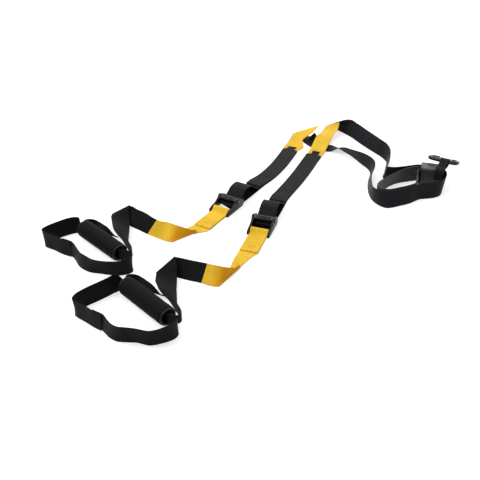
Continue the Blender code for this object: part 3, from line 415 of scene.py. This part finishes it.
BLACK_STRAPS = ["handle_strap", "foot_cradle_front", "foot_cradle_back", "adjust_strap",
                "tail_sleeve", "keeper_patch"]
# Each weft tone is partly painted shade: it colours the rib valleys darker.
black_weave = woven("black_polyester_webbing", "#1D1D1D", "#161616", "#1A1A1B", 0.55, 0.012)
jet_weave = woven("jet_black_polyester_webbing", "#141414", "#0F0F0F", "#121213", 0.58, 0.008)
JET_STRAPS = ("handle_strap", "foot_cradle_front", "foot_cradle_back")
bight_weave = woven("soot_black_polyester_webbing", "#252428", "#1D1C20", "#222125", 0.5, 0.012)
# Which edge of the handle's wide panel is pulled straight, from which rung, and how far.
PANEL_EDGES = {
    "right": (1, 23, (0.0012, 0.0012, -0.0016, -0.0038, -0.0006, 0.0034, 0.0030, 0.0020)),
    "left": (0, 23, (0.0010, 0.0006, -0.0020, -0.0035, -0.0014,
                     0.0014, 0.0027, 0.0037, 0.0040, 0.0040))}


def straightened(node, edge, first, shifts):
    """A packed strap's rungs, with one edge of its wide panel pulled straight."""
    rungs = rungs_of(node)
    rungs[edge][first:first + len(shifts), 0] += shifts
    return rungs


for side in ("right", "left"):
    for strap in BLACK_STRAPS:
        node = f"{side}_{strap}"
        rungs = straightened(node, *PANEL_EDGES[side]) if strap == "handle_strap" else None
        piece = lay_webbing(node, jet_weave if strap in JET_STRAPS else black_weave, rungs)
        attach(piece, "trainer")
for strap in ("main_strap", "anchor_tab"):
    piece = lay_webbing(strap, bight_weave)
    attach(piece, "trainer")


# Yellow webbing.  The adjustment ends, dyed golden yellow: the same weave in a brighter yarn,
# paler on its raised ribs, with painted shade in its rib valleys and a deeper orange painted as
# shade in its folds.  The lower ends turn over in a soft roll on the floor, from edge to flat.
TENTHS_PER_METRE = 10000
TURNED_ROWS = {  # first rung replaced, first kept after them, rows in tenths of a millimetre
    "right": (1, 12, [
        (-1145, -2680, 7, -1043, -2447, 306), (-1070, -2710, 7, -962, -2462, 296),
        (-1014, -2729, 7, -885, -2465, 278), (-974, -2738, 7, -811, -2451, 250),
        (-948, -2738, 7, -742, -2415, 214), (-934, -2732, 7, -676, -2359, 170),
        (-925, -2726, 7, -617, -2287, 126), (-928, -2713, 34, -541, -2122, 66),
        (-915, -2721, 32, -528, -2131, 46), (-909, -2725, 22, -523, -2134, 28),
        (-913, -2723, 10, -526, -2132, 12), (-934, -2709, 8, -548, -2118, 8),
        (-811, -2384, 9, -521, -2114, 9), (-763, -2260, 9, -506, -2089, 9),
        (-721, -2134, 9, -481, -2054, 9), (-700, -2049, 9, -441, -1989, 9),
        (-683, -1963, 9, -391, -1914, 9), (-661, -1874, 9, -341, -1842, 9),
        (-625, -1766, 9, -278, -1757, 9), (-584, -1654, 9, -221, -1689, 9)]),
    "left": (1, 12, [
        (-2302, -1023, 7, -2114, -936, 310), (-2202, -1091, 7, -2024, -949, 306),
        (-2108, -1154, 7, -1946, -977, 302), (-2023, -1205, 7, -1867, -1014, 294),
        (-1961, -1235, 7, -1787, -1028, 270), (-1926, -1242, 7, -1709, -1017, 232),
        (-1908, -1238, 7, -1632, -992, 186), (-1903, -1235, 7, -1559, -964, 142),
        (-1901, -1235, 7, -1489, -935, 100), (-1904, -1225, 34, -1427, -863, 66),
        (-1895, -1237, 32, -1418, -875, 46), (-1890, -1243, 22, -1414, -881, 28),
        (-1893, -1239, 10, -1416, -878, 12), (-1909, -1219, 8, -1432, -857, 8),
        (-1831, -1074, 9, -1403, -904, 9), (-1768, -987, 9, -1391, -900, 9),
        (-1711, -894, 9, -1366, -894, 9), (-1631, -734, 9, -1321, -881, 9),
        (-1584, -685, 9, -1281, -871, 9), (-1528, -638, 9, -1229, -858, 9)])}


def turned_over(node, first, last, rows):
    """A packed strap's rungs with its fold relaid; a row is one edge's point, then the other's."""
    ones, twos, ups = rungs_of(node)
    rows = np.array(rows) / TENTHS_PER_METRE
    ones = np.concatenate([ones[:first], rows[:, :3], ones[last:]])
    twos = np.concatenate([twos[:first], rows[:, 3:], twos[last:]])
    turned = np.cross(twos - ones, np.gradient((ones + twos) / 2, axis=0))
    turned /= np.linalg.norm(turned, axis=1)[:, None]
    return ones, twos, turned * np.sign((turned[-1] * ups[-1]).sum())


# The deeper orange is painted shade on the faces that turn from the lamps in the folds; the weft
# tone is partly painted shade in the rib valleys.
yellow_weave = woven("golden_yellow_polyester_webbing", "#ECC440", "#E6B628", "#E8BB30",
                     0.55, 0.1, painted_shade_tone="#EE9E0C")
for side in ("right", "left"):
    for strap in ("lower_strap", "upper_tab"):
        node = f"{side}_{strap}"
        rungs = turned_over(node, *TURNED_ROWS[side]) if strap == "lower_strap" else None
        piece = lay_webbing(node, yellow_weave, rungs)
        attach(piece, "trainer")


# Anchor loop.  The sewn loop inside the main strap's bight, of a greyer nylon webbing
# whose smoother yarn catches more light.
grey_weave = woven("charcoal_nylon_webbing", "#55545A", "#403F45", "#4C4B51", 0.42, 0.1, 0.1)
piece = lay_webbing("anchor_loop", grey_weave)
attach(piece, "trainer")


# Keeper sleeve.  A short ring of smooth webbing, 42 mm wide, that is sewn round all the
# strands with its ends lapped on the far side.
SLEEVE_MIDDLE = Vector((0.3759, 0.1181, 0))
SLEEVE_TURN = -14
SLEEVE_LENGTH = 0.042
SLEEVE_HALF_DEPTH = 0.0161
SLEEVE_LOW, SLEEVE_HIGH = 0.0014, 0.0461
SLEEVE_CORNER = 0.0036
# The lap: where its inner end starts below the middle, then how far out its outer end climbs
# and lies, and how far from the middle and the foot it does so.
LAP_START = 0.006
LAP_CLIMB, LAP_OUT = 0.0012, 0.0021
LAP_REACH = 0.008


def sleeve_rungs():
    """Rungs that go once round the strands and end in a lap on the far side."""
    line = []
    corners = [
        (SLEEVE_HALF_DEPTH, SLEEVE_HIGH, 0, 1, 1), (-SLEEVE_HALF_DEPTH, SLEEVE_HIGH, 90, -1, 1),
        (-SLEEVE_HALF_DEPTH, SLEEVE_LOW, 180, -1, -1), (SLEEVE_HALF_DEPTH, SLEEVE_LOW, 270, 1, -1)]
    for y, z, start, way_y, way_z in corners:
        for step in range(0, 91, 18):
            angle = math.radians(start + step)
            line.append((y - way_y * SLEEVE_CORNER + SLEEVE_CORNER * math.cos(angle),
                         z - way_z * SLEEVE_CORNER + SLEEVE_CORNER * math.sin(angle)))
    middle_height = (SLEEVE_LOW + SLEEVE_HIGH) / 2
    line = [(SLEEVE_HALF_DEPTH, middle_height - LAP_START)] + line + [
        (SLEEVE_HALF_DEPTH + LAP_CLIMB, SLEEVE_LOW + LAP_REACH),
        (SLEEVE_HALF_DEPTH + LAP_OUT, middle_height - LAP_REACH),
        (SLEEVE_HALF_DEPTH + LAP_OUT, middle_height + LAP_REACH)]
    place = Matrix.Translation(SLEEVE_MIDDLE) @ Matrix.Rotation(math.radians(SLEEVE_TURN), 4, "Z")
    ones = np.array([place @ Vector((-SLEEVE_LENGTH / 2, y, z)) for y, z in line])
    twos = np.array([place @ Vector((SLEEVE_LENGTH / 2, y, z)) for y, z in line])
    ups = np.cross(twos - ones, np.gradient(np.array(ones), axis=0))
    return ones, twos, ups / np.linalg.norm(ups, axis=1)[:, None]


sleeve_weave = woven("smooth_black_nylon_webbing", "#1B1A1D", "#151416", "#19181B", 0.36, 0.03, 0.6)
piece = lay_webbing("keeper_sleeve", sleeve_weave, sleeve_rungs())
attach(piece, "trainer")


# Grips.  Closed-cell foam sleeves on a plastic tube, cut square with a softened edge.
# Hands leave the matt black face faintly dented, and its cells show as fine pits.
GRIP_LENGTH = 0.124
GRIP_RADIUS = 0.018
FOAM_LENGTH = 0.1174
FOAM_BORE = 0.0155
FOAM_ROUND = 0.0016
FOAM_END_DROP = 0.0002
RING_THICKNESS = 0.003
RING_RADIUS = 0.0168
RING_BORE = 0.0123
RING_NECK = 0.0135
RING_REACH = 0.0093
RING_ROUND = 0.0009
CORNER_LIMIT = 0.45
LATHE_STEPS = 96
# Hand dents: depth, how many to the metre, and how far outside the bore they begin.
DENT_DEPTH, DENTS_PER_METRE, DENT_START = 0.0005, 55.0, 0.0012
GRIPS = {"right": ((-0.2161, -0.3384, 0.019), -47.7), "left": ((-0.3246, -0.1454, 0.019), -46.6)}


def lathe(name, profile, place, finish):
    """A closed profile of (along, radius) points spun round the X axis."""
    shape = bmesh.new()
    ring = [shape.verts.new((along, 0.0, radius)) for along, radius in profile]
    for one, other in zip(ring, ring[1:] + ring[:1]):
        shape.edges.new((one, other))
    mesh = bpy.data.meshes.new(name)
    shape.to_mesh(mesh)
    shape.free()
    made = bpy.data.objects.new(name, mesh)
    bpy.context.scene.collection.objects.link(made)
    bpy.context.view_layer.objects.active = made
    bpy.ops.object.select_all(action="DESELECT")
    made.select_set(True)
    bpy.ops.object.mode_set(mode="EDIT")
    bpy.ops.mesh.select_all(action="SELECT")
    bpy.ops.mesh.spin(steps=LATHE_STEPS, angle=2 * math.pi, center=(0, 0, 0), axis=(1, 0, 0))
    bpy.ops.mesh.select_all(action="SELECT")
    bpy.ops.mesh.remove_doubles(threshold=0.000005)
    bpy.ops.mesh.normals_make_consistent(inside=False)
    bpy.ops.object.mode_set(mode="OBJECT")
    mesh.transform(place)
    mesh.shade_smooth()
    mesh.set_sharp_from_angle(angle=math.radians(50))
    mesh.materials.append(finish)
    made.select_set(False)
    return made


def rounded(corners, radius, steps):
    """A closed profile whose corners are rounded; each corner is (along, radius)."""
    made = []
    for index, corner in enumerate(corners):
        here = Vector(corner)
        before, after = Vector(corners[index - 1]), Vector(corners[(index + 1) % len(corners)])
        into, out = (before - here), (after - here)
        cut = min(radius, into.length * CORNER_LIMIT, out.length * CORNER_LIMIT)
        start, end = here + into.normalized() * cut, here + out.normalized() * cut
        for step in range(steps + 1):
            share = step / steps
            made.append(tuple(
                start * (1 - share) ** 2 + here * 2 * share * (1 - share) + end * share ** 2))
    return made


def refinish(node, finish):
    """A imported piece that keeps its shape, in another finish."""
    mesh = frame["nodes"][node].data
    mesh.materials.clear()
    mesh.materials.append(finish)


# Closed-cell foam: open pits in the cut skin swallow the light and leave a dead matt black.
# The pits are drawn 1.1 mm apart, coarser than real cells, so that they show.
foam = new_material("black_closed_cell_foam")
foam_spots = add_node(foam, "ShaderNodeTexCoord")
foam_cells = add_node(foam, "ShaderNodeTexVoronoi", {
    "Vector": foam_spots.outputs["Object"], "Scale": 900.0}, feature="F1")
foam_cloud = add_node(foam, "ShaderNodeTexNoise", {
    "Vector": foam_spots.outputs["Object"], "Scale": 70.0, "Detail": 5.0})
foam_tone = add_node(foam, "ShaderNodeMix", {
    "Factor": foam_cloud.outputs["Fac"], "A": linear("#0C0C0C"),
    "B": linear("#121212")}, data_type="RGBA")
foam_bump = add_node(foam, "ShaderNodeBump", {
    "Height": foam_cells.outputs["Distance"], "Strength": 0.5, "Distance": 0.0003})
show(foam, add_node(foam, "ShaderNodeBsdfPrincipled", {
    "Base Color": foam_tone.outputs["Result"], "Roughness": 0.8, "Specular IOR Level": 0.08,
    "Sheen Weight": 0.01, "Sheen Roughness": 0.5,
    "Normal": foam_bump.outputs["Normal"]}).outputs[0])

# Moulded polypropylene: an eroded mould grain, here 2 mm and coarser than real, dulls the
# shine to a soft grey line along each rounded edge.
ring_plastic = new_material("black_moulded_polypropylene")
ring_spots = add_node(ring_plastic, "ShaderNodeTexCoord")
ring_grain = add_node(ring_plastic, "ShaderNodeTexNoise", {
    "Vector": ring_spots.outputs["Object"], "Scale": 500.0, "Detail": 2.0})
ring_bump = add_node(ring_plastic, "ShaderNodeBump", {
    "Height": ring_grain.outputs["Fac"], "Strength": 0.25, "Distance": 0.0001})
ring_tone = add_node(ring_plastic, "ShaderNodeMix", {
    "Factor": ring_grain.outputs["Fac"], "A": linear("#0E0E0F"),
    "B": linear("#171718")}, data_type="RGBA")
show(ring_plastic, add_node(ring_plastic, "ShaderNodeBsdfPrincipled", {
    "Base Color": ring_tone.outputs["Result"], "Roughness": 0.5, "Specular IOR Level": 0.25,
    "Normal": ring_bump.outputs["Normal"]}).outputs[0])

for side, (middle, heading) in GRIPS.items():
    place = Matrix.Translation(middle) @ Matrix.Rotation(math.radians(heading), 4, "Z")
    half = FOAM_LENGTH / 2
    shares = [index / 24 for index in range(1, 24)]
    profile = rounded([(-half, FOAM_BORE), (-half, GRIP_RADIUS - FOAM_END_DROP)]
                      + [(half * (share * 2 - 1), GRIP_RADIUS) for share in shares]
                      + [(half, GRIP_RADIUS - FOAM_END_DROP), (half, FOAM_BORE)], FOAM_ROUND, 3)
    piece = lathe(f"{side}_foam_sleeve", profile, place, foam)
    for vertex in piece.data.vertices:
        spot = place.inverted() @ vertex.co
        out = Vector((0, spot.y, spot.z))
        if out.length > FOAM_BORE + DENT_START:
            dent = DENT_DEPTH * abs(noise.noise(spot * DENTS_PER_METRE))
            out = out.normalized() * (out.length - dent)
            vertex.co = place @ Vector((spot.x, out.y, out.z))
    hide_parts(f"{side}_grip_foam")
    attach(piece, f"{side}_grip")
    for end, way in (("inner", -1), ("outer", 1)):
        low, high = GRIP_LENGTH / 2 - RING_THICKNESS, GRIP_LENGTH / 2
        corners = [
            (way * (low - RING_REACH), RING_BORE), (way * (low - RING_REACH), RING_NECK),
            (way * low, RING_NECK), (way * low, RING_RADIUS),
            (way * high, RING_RADIUS), (way * high, RING_BORE)]
        profile = rounded(corners, RING_ROUND, 4)
        piece = lathe(f"{side}_{end}_end_ring", profile, place, ring_plastic)
        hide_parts(f"{side}_grip_ring_{end}")
        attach(piece, f"{side}_grip")
    refinish(f"{side}_grip_tube", ring_plastic)


# Stitching.  Bonded thread in short arched stitches: boxes with a cross where a strap is
# sewn down, rows along the doubled runs, in the colour of the webbing that they cross.
THREAD_RADIUS = 0.00022
STITCH_PITCH = 0.0032
# How near a box and a row come to the selvedge, as shares of half the width.
BOX_SHARE, ROW_SHARE = 0.84, 0.9
# A stitch's four points: their share of the pitch, and their height above the webbing.
STITCH_POINTS = [(0.12, -0.0002), (0.3, 0.00018), (0.7, 0.00018), (0.88, -0.0002)]


def thread(name, dark, light):
    """Twisted thread's finish: its strands break the soft shine into fine specks."""
    made = new_material(name)
    strands = add_node(made, "ShaderNodeTexNoise", {
        "Vector": add_node(made, "ShaderNodeTexCoord").outputs["Object"], "Scale": 2600.0})
    tone = add_node(made, "ShaderNodeMix", {
        "Factor": strands.outputs["Fac"], "A": linear(dark), "B": linear(light)}, data_type="RGBA")
    return show(made, add_node(made, "ShaderNodeBsdfPrincipled", {
        "Base Color": tone.outputs["Result"], "Roughness": 0.45,
        "Specular IOR Level": 0.25}).outputs[0])


def on_strap(node, place, share, height, face):
    """A spot on a laid strap; face is 1 or -1, or 0 for the side that looks up."""
    middles, across, faces_up, widths, along = laid[node]
    spot, side_way, out = (np.array([np.interp(place, along, row[:, k]) for k in range(3)])
                           for row in (middles, across, faces_up))
    way = face or math.copysign(1, out[2])
    lift = WEB_HALF_THICKNESS * FACE_HEIGHT + height
    return spot + side_way * share * np.interp(place, along, widths) / 2 + out * way * lift


def bare_curve(name, radius, resolution):
    """An empty curve with a round section, ready for its splines."""
    bpy.ops.object.select_all(action="DESELECT")
    bpy.ops.curve.primitive_bezier_curve_add(location=(0, 0, 0))
    made = bpy.context.object
    made.name = made.data.name = name
    made.data.splines.clear()
    made.data.bevel_depth = radius
    made.data.bevel_resolution = resolution
    made.data.use_fill_caps = True
    return made


def sew(node, name, finish, lines, faces):
    """Rows of stitches; a line is a start and share across, then an end and share across.

    A place below zero is measured from the strap's far end.
    """
    along, widths = laid[node][4], laid[node][3]
    seam = bare_curve(name, THREAD_RADIUS, 1)
    for start, start_share, end, end_share in lines:
        start, end = (value % along[-1] for value in (start, end))
        slant = (end_share - start_share) * np.interp(start, along, widths) / 2
        count = max(1, round(math.hypot(end - start, slant) / STITCH_PITCH))
        for index in range(count):
            for face in faces:
                stitch = seam.data.splines.new("POLY")
                stitch.points.add(len(STITCH_POINTS) - 1)
                for point, (step, height) in zip(stitch.points, STITCH_POINTS):
                    share = (index + step) / count
                    place = start + (end - start) * share
                    side_share = start_share + (end_share - start_share) * share
                    point.co = (*on_strap(node, place, side_share, height, face), 1.0)
    bpy.ops.object.convert(target="MESH")
    bpy.context.object.data.materials.append(finish)
    return bpy.context.object


def crossed_box(start, end, share=BOX_SHARE):
    """The lines of a box with a cross in it."""
    return [(start, -share, end, -share), (start, share, end, share), (start, -share, start, share),
            (end, -share, end, share), (start, -share, end, share), (start, share, end, -share)]


def rows_across(*places):
    """The lines of rows that cross the strap at these places."""
    return [(place, -ROW_SHARE, place, ROW_SHARE) for place in places]


black_thread = thread("black_bonded_nylon_thread", "#161617", "#343436")
yellow_thread = thread("yellow_bonded_nylon_thread", "#D99A10", "#F3C544")
UP, BOTH = (0,), (1, -1)
SEAMS = []
for side in ("right", "left"):
    SEAMS += [
        (f"{side}_lower_strap", "buckle_end_box", yellow_thread, crossed_box(-0.003, -0.030), UP),
        (f"{side}_lower_strap", "black_end_rows", yellow_thread, rows_across(0.003, 0.006), BOTH),
        (f"{side}_handle_strap", "yellow_end_rows", black_thread,
         rows_across(-0.003, -0.007), BOTH),
        (f"{side}_foot_cradle_front", "lap_box", black_thread, crossed_box(0.003, 0.019), BOTH),
        (f"{side}_foot_cradle_back", "lap_rows", black_thread, rows_across(0.003, 0.019), BOTH),
        (f"{side}_tail_sleeve", "hems", black_thread,
         [(0.003, edge, -0.003, edge) for edge in (-ROW_SHARE, ROW_SHARE)]
         + rows_across(0.003, 0.006), UP),
        (f"{side}_keeper_patch", "patch_box", black_thread, crossed_box(0.003, -0.002, 0.86), UP),
        (f"{side}_upper_tab", "tab_rows", yellow_thread, rows_across(0.014, 0.017), UP)]
SEAMS += [
    ("main_strap", "end_boxes", black_thread,
     crossed_box(0.004, 0.028) + crossed_box(-0.028, -0.004), BOTH),
    ("anchor_tab", "tab_box", black_thread,
     crossed_box(0.004, 0.018) + crossed_box(-0.018, -0.004), BOTH),
    ("anchor_loop", "end_rows", black_thread, rows_across(0.004, 0.008, -0.004, -0.008), BOTH),
    ("keeper_sleeve", "closing_rows", black_thread, rows_across(-0.003, -0.007, -0.011), BOTH)]
for node, name, finish, lines, faces in SEAMS:
    piece = sew(node, f"{node}_{name}", finish, lines, faces)
    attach(piece, "trainer")


# Cam buckles.  Moulded glass-filled nylon: satin black, with rounded edges that catch a
# grey line of light.  The cam turns on a steel pin and its plate has ribs for the thumb.
MERGE_REACH = 0.00001
SHARP_ANGLE = math.radians(42)
# Rounded edges: how wide, and from how many degrees of sharpness.
BODY_ROUND, LEVER_ROUND = (0.0006, 28), (0.0003, 35)


def round_edges(piece, width, degrees):
    """Rounds the active piece's edges that are sharper than so many degrees."""
    change = piece.modifiers.new("round_edges", "BEVEL")
    change.width = width
    change.segments = 3
    change.limit_method = "ANGLE"
    change.angle_limit = math.radians(degrees)
    bpy.ops.object.modifier_apply(modifier="round_edges")


def coat(piece, finish):
    """Smooth faces between the sharp edges, and the finish alone."""
    piece.data.shade_smooth()
    piece.data.set_sharp_from_angle(angle=SHARP_ANGLE)
    piece.data.materials.clear()
    piece.data.materials.append(finish)
    piece.select_set(False)


def softened(node, name, finish, width, degrees):
    """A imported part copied, merged and given rounded edges."""
    made = frame["nodes"][node].copy()
    made.data = made.data.copy()
    made.name = made.data.name = name
    made.parent = None
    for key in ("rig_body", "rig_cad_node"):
        if key in made:
            del made[key]
    made.hide_render = made.hide_viewport = False
    bpy.context.scene.collection.objects.link(made)
    bpy.ops.object.select_all(action="DESELECT")
    bpy.context.view_layer.objects.active = made
    made.select_set(True)
    bpy.ops.object.mode_set(mode="EDIT")
    bpy.ops.mesh.select_all(action="SELECT")
    bpy.ops.mesh.remove_doubles(threshold=MERGE_REACH)
    bpy.ops.mesh.dissolve_limited(angle_limit=math.radians(1.0))
    bpy.ops.object.mode_set(mode="OBJECT")
    round_edges(made, width, degrees)
    coat(made, finish)
    return made


# Glass-filled nylon: fibres just under the skin cloud its shine, so that the faces stay
# near black and only the rounded edges catch the light.  Its grain, 1.4 mm, is coarser than real.
satin_nylon = new_material("glass_filled_nylon")
nylon_spots = add_node(satin_nylon, "ShaderNodeTexCoord")
nylon_grain = add_node(satin_nylon, "ShaderNodeTexNoise", {
    "Vector": nylon_spots.outputs["Object"], "Scale": 700.0, "Detail": 3.0})
nylon_marks = add_node(satin_nylon, "ShaderNodeTexNoise", {
    "Vector": nylon_spots.outputs["Object"], "Scale": 60.0, "Detail": 4.0})
nylon_bump = add_node(satin_nylon, "ShaderNodeBump", {
    "Height": nylon_grain.outputs["Fac"], "Strength": 0.3, "Distance": 0.0001})
nylon_tone = add_node(satin_nylon, "ShaderNodeMix", {
    "Factor": nylon_marks.outputs["Fac"], "A": linear("#070708"),
    "B": linear("#0D0D0E")}, data_type="RGBA")
nylon_gloss = add_node(satin_nylon, "ShaderNodeMapRange", {
    "Value": nylon_marks.outputs["Fac"], "To Min": 0.3, "To Max": 0.42})
show(satin_nylon, add_node(satin_nylon, "ShaderNodeBsdfPrincipled", {
    "Base Color": nylon_tone.outputs["Result"], "Roughness": nylon_gloss.outputs[0],
    "Specular IOR Level": 0.2, "Normal": nylon_bump.outputs["Normal"]}).outputs[0])

# Zinc plate: a bright mirror, softened here and there in spots of about 3 mm, as on parts
# that are plated in a barrel.
bright_steel = new_material("zinc_plated_steel")
steel_spots = add_node(bright_steel, "ShaderNodeTexCoord")
steel_grain = add_node(bright_steel, "ShaderNodeTexNoise", {
    "Vector": steel_spots.outputs["Object"], "Scale": 300.0, "Detail": 4.0})
steel_gloss = add_node(bright_steel, "ShaderNodeMapRange", {
    "Value": steel_grain.outputs["Fac"], "To Min": 0.18, "To Max": 0.38})
show(bright_steel, add_node(bright_steel, "ShaderNodeBsdfPrincipled", {
    "Base Color": linear("#808184"), "Metallic": 1.0,
    "Roughness": steel_gloss.outputs[0]}).outputs[0])

BUCKLES = {"right": ((-0.0066, -0.0714, 0), -18.5), "left": ((-0.0816, 0.0111, 0), -32)}
RIB_PLACES = (0.0012, 0.0036, 0.0060, 0.0084, 0.0108)
RIB_SIZE = (0.031, 0.0011, 0.0010)
RIB_ROUND = 0.00032
LEVER_TOP = 0.0229
# The thin web between the cheeks, under the straps; the left one is cut back at one corner.
WEB_WIDTH = 0.0392
WEB_FLOOR = 0.0005
WEB_THICKNESS = 0.0014
WEB_ROUND = 0.0003
WEB_BACK = 0.0125
WEB_FRONT = {"right": -0.0050, "left": 0.0085}
for side, (middle, heading) in BUCKLES.items():
    place = Matrix.Translation(middle) @ Matrix.Rotation(math.radians(heading), 4, "Z")
    piece = softened(f"{side}_buckle_frame", f"{side}_buckle_body", satin_nylon, *BODY_ROUND)
    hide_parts(f"{side}_buckle_frame")
    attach(piece, "trainer")
    piece = softened(f"{side}_cam_lever", f"{side}_thumb_cam", satin_nylon, *LEVER_ROUND)
    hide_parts(f"{side}_cam_lever")
    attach(piece, f"{side}_cam")
    bpy.ops.mesh.primitive_plane_add(size=1.0, location=(0, 0, WEB_FLOOR))
    piece = bpy.context.object
    piece.name = piece.data.name = f"{side}_base_web"
    for vertex in piece.data.vertices:
        front = WEB_FRONT[side] if vertex.co.x < 0 else WEB_FRONT["right"]
        vertex.co.x *= WEB_WIDTH
        vertex.co.y = front if vertex.co.y < 0 else WEB_BACK
    bpy.ops.object.transform_apply(location=True)
    bpy.ops.object.mode_set(mode="EDIT")
    bpy.ops.mesh.select_all(action="SELECT")
    bpy.ops.mesh.extrude_region_move(TRANSFORM_OT_translate={"value": (0, 0, WEB_THICKNESS)})
    bpy.ops.mesh.select_all(action="SELECT")
    bpy.ops.mesh.normals_make_consistent(inside=False)
    bpy.ops.mesh.bevel(offset=WEB_ROUND, segments=2)
    bpy.ops.object.mode_set(mode="OBJECT")
    piece.data.transform(place)
    piece.data.materials.append(satin_nylon)
    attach(piece, "trainer")
    piece.select_set(False)
    ribs = []
    for rib_place in RIB_PLACES:
        bpy.ops.mesh.primitive_cube_add(size=1.0, location=(0, rib_place, LEVER_TOP))
        rib = bpy.context.object
        rib.scale = RIB_SIZE
        bpy.ops.object.transform_apply(location=True, rotation=True, scale=True)
        soften = rib.modifiers.new("soften", "BEVEL")
        soften.width = RIB_ROUND
        soften.segments = 3
        bpy.ops.object.modifier_apply(modifier="soften")
        ribs.append(rib)
    for rib in ribs:
        rib.select_set(True)
    bpy.ops.object.join()
    piece = bpy.context.object
    piece.name = piece.data.name = f"{side}_thumb_ribs"
    piece.data.transform(place)
    coat(piece, satin_nylon)
    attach(piece, f"{side}_cam")
    for metal in ("cam_pin", "cam_spring"):
        refinish(f"{side}_{metal}", bright_steel)


# Carabiner.  An aluminium alloy bar bent to a long rounded loop and anodised black, forked
# at one end.  Its plated steel gate turns on a pin through the fork.
CLIP_PLACE = (
    Matrix.Translation((0.4064, 0.1211, 0.05662)) @ Matrix.Rotation(math.radians(-32), 4, "Z")
    @ Matrix.Rotation(math.radians(-20), 4, "X") @ Matrix.Translation((-0.0077, 0.0175, 0)))
CLIP_STOCK = 0.0045
CLIP_LONG, CLIP_WIDE = 0.0305, 0.0175
CLIP_BEND = 0.01225
CLIP_NOSE, CLIP_HINGE = 0.01494, -0.01769
HINGE_REACH = 0.0036
FORK_START, FORK_END, FORK_GAP = -0.02201, -0.01209, 0.0051
PIN_HOLE = 0.0017
CLIP_ROUND, GATE_ROUND = (0.0003, 40), (0.0004, 35)
# Anodising: a dyed oxide that darkens the metal and keeps its streaky grey reflections, with
# a mottling of about 4 mm from handling.
black_anodised = new_material("black_anodised_aluminium")
alloy_spots = add_node(black_anodised, "ShaderNodeTexCoord")
alloy_grain = add_node(black_anodised, "ShaderNodeTexNoise", {
    "Vector": alloy_spots.outputs["Object"], "Scale": 260.0, "Detail": 4.0})
alloy_tone = add_node(black_anodised, "ShaderNodeMix", {
    "Factor": alloy_grain.outputs["Fac"], "A": linear("#1A1A1C"),
    "B": linear("#3A3A3D")}, data_type="RGBA")
alloy_gloss = add_node(black_anodised, "ShaderNodeMapRange", {
    "Value": alloy_grain.outputs["Fac"], "To Min": 0.22, "To Max": 0.40})
show(black_anodised, add_node(black_anodised, "ShaderNodeBsdfPrincipled", {
    "Base Color": alloy_tone.outputs["Result"], "Metallic": 0.85,
    "Roughness": alloy_gloss.outputs[0]}).outputs[0])

bow = [(CLIP_NOSE, CLIP_WIDE)]
for turn in range(4):
    side_x, side_y = (1 if turn < 2 else -1), (1 if turn in (0, 3) else -1)
    for step in range(0, 91, 5):
        angle = math.radians(90 - 90 * turn - step)
        bow.append((side_x * (CLIP_LONG - CLIP_BEND) + CLIP_BEND * math.cos(angle),
                    side_y * (CLIP_WIDE - CLIP_BEND) + CLIP_BEND * math.sin(angle)))
bow.append((CLIP_HINGE + HINGE_REACH, CLIP_WIDE))
piece = bare_curve("carabiner_frame", CLIP_STOCK, 8)
bar = piece.data.splines.new("POLY")
bar.points.add(len(bow) - 1)
for point, spot in zip(bar.points, bow):
    point.co = (*spot, 0.0, 1.0)
bpy.ops.object.convert(target="MESH")
piece = bpy.context.object
bpy.ops.object.mode_set(mode="EDIT")
bpy.ops.mesh.select_all(action="SELECT")
bpy.ops.mesh.remove_doubles(threshold=MERGE_REACH)
bpy.ops.mesh.normals_make_consistent(inside=False)
bpy.ops.object.mode_set(mode="OBJECT")
bpy.ops.mesh.primitive_cube_add(size=1.0, location=((FORK_START + FORK_END) / 2, CLIP_WIDE, 0))
fork = bpy.context.object
fork.scale = (FORK_END - FORK_START, CLIP_STOCK * 3, FORK_GAP)
bpy.ops.mesh.primitive_cylinder_add(
    vertices=48, radius=PIN_HOLE, depth=CLIP_STOCK * 3, location=(CLIP_HINGE, CLIP_WIDE, 0))
hole = bpy.context.object
bpy.ops.object.select_all(action="DESELECT")
bpy.context.view_layer.objects.active = piece
piece.select_set(True)
for tool in (fork, hole):
    cut = piece.modifiers.new("cut", "BOOLEAN")
    cut.operation = "DIFFERENCE"
    cut.solver = "EXACT"
    cut.object = tool
    bpy.ops.object.modifier_apply(modifier="cut")
    bpy.data.objects.remove(tool, do_unlink=True)
round_edges(piece, *CLIP_ROUND)
piece.data.transform(CLIP_PLACE)
coat(piece, black_anodised)
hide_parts("carabiner_body")
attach(piece, "carabiner")
piece = softened("carabiner_gate", "carabiner_gate_bar", bright_steel, *GATE_ROUND)
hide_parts("carabiner_gate")
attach(piece, "gate")
refinish("gate_pin", bright_steel)
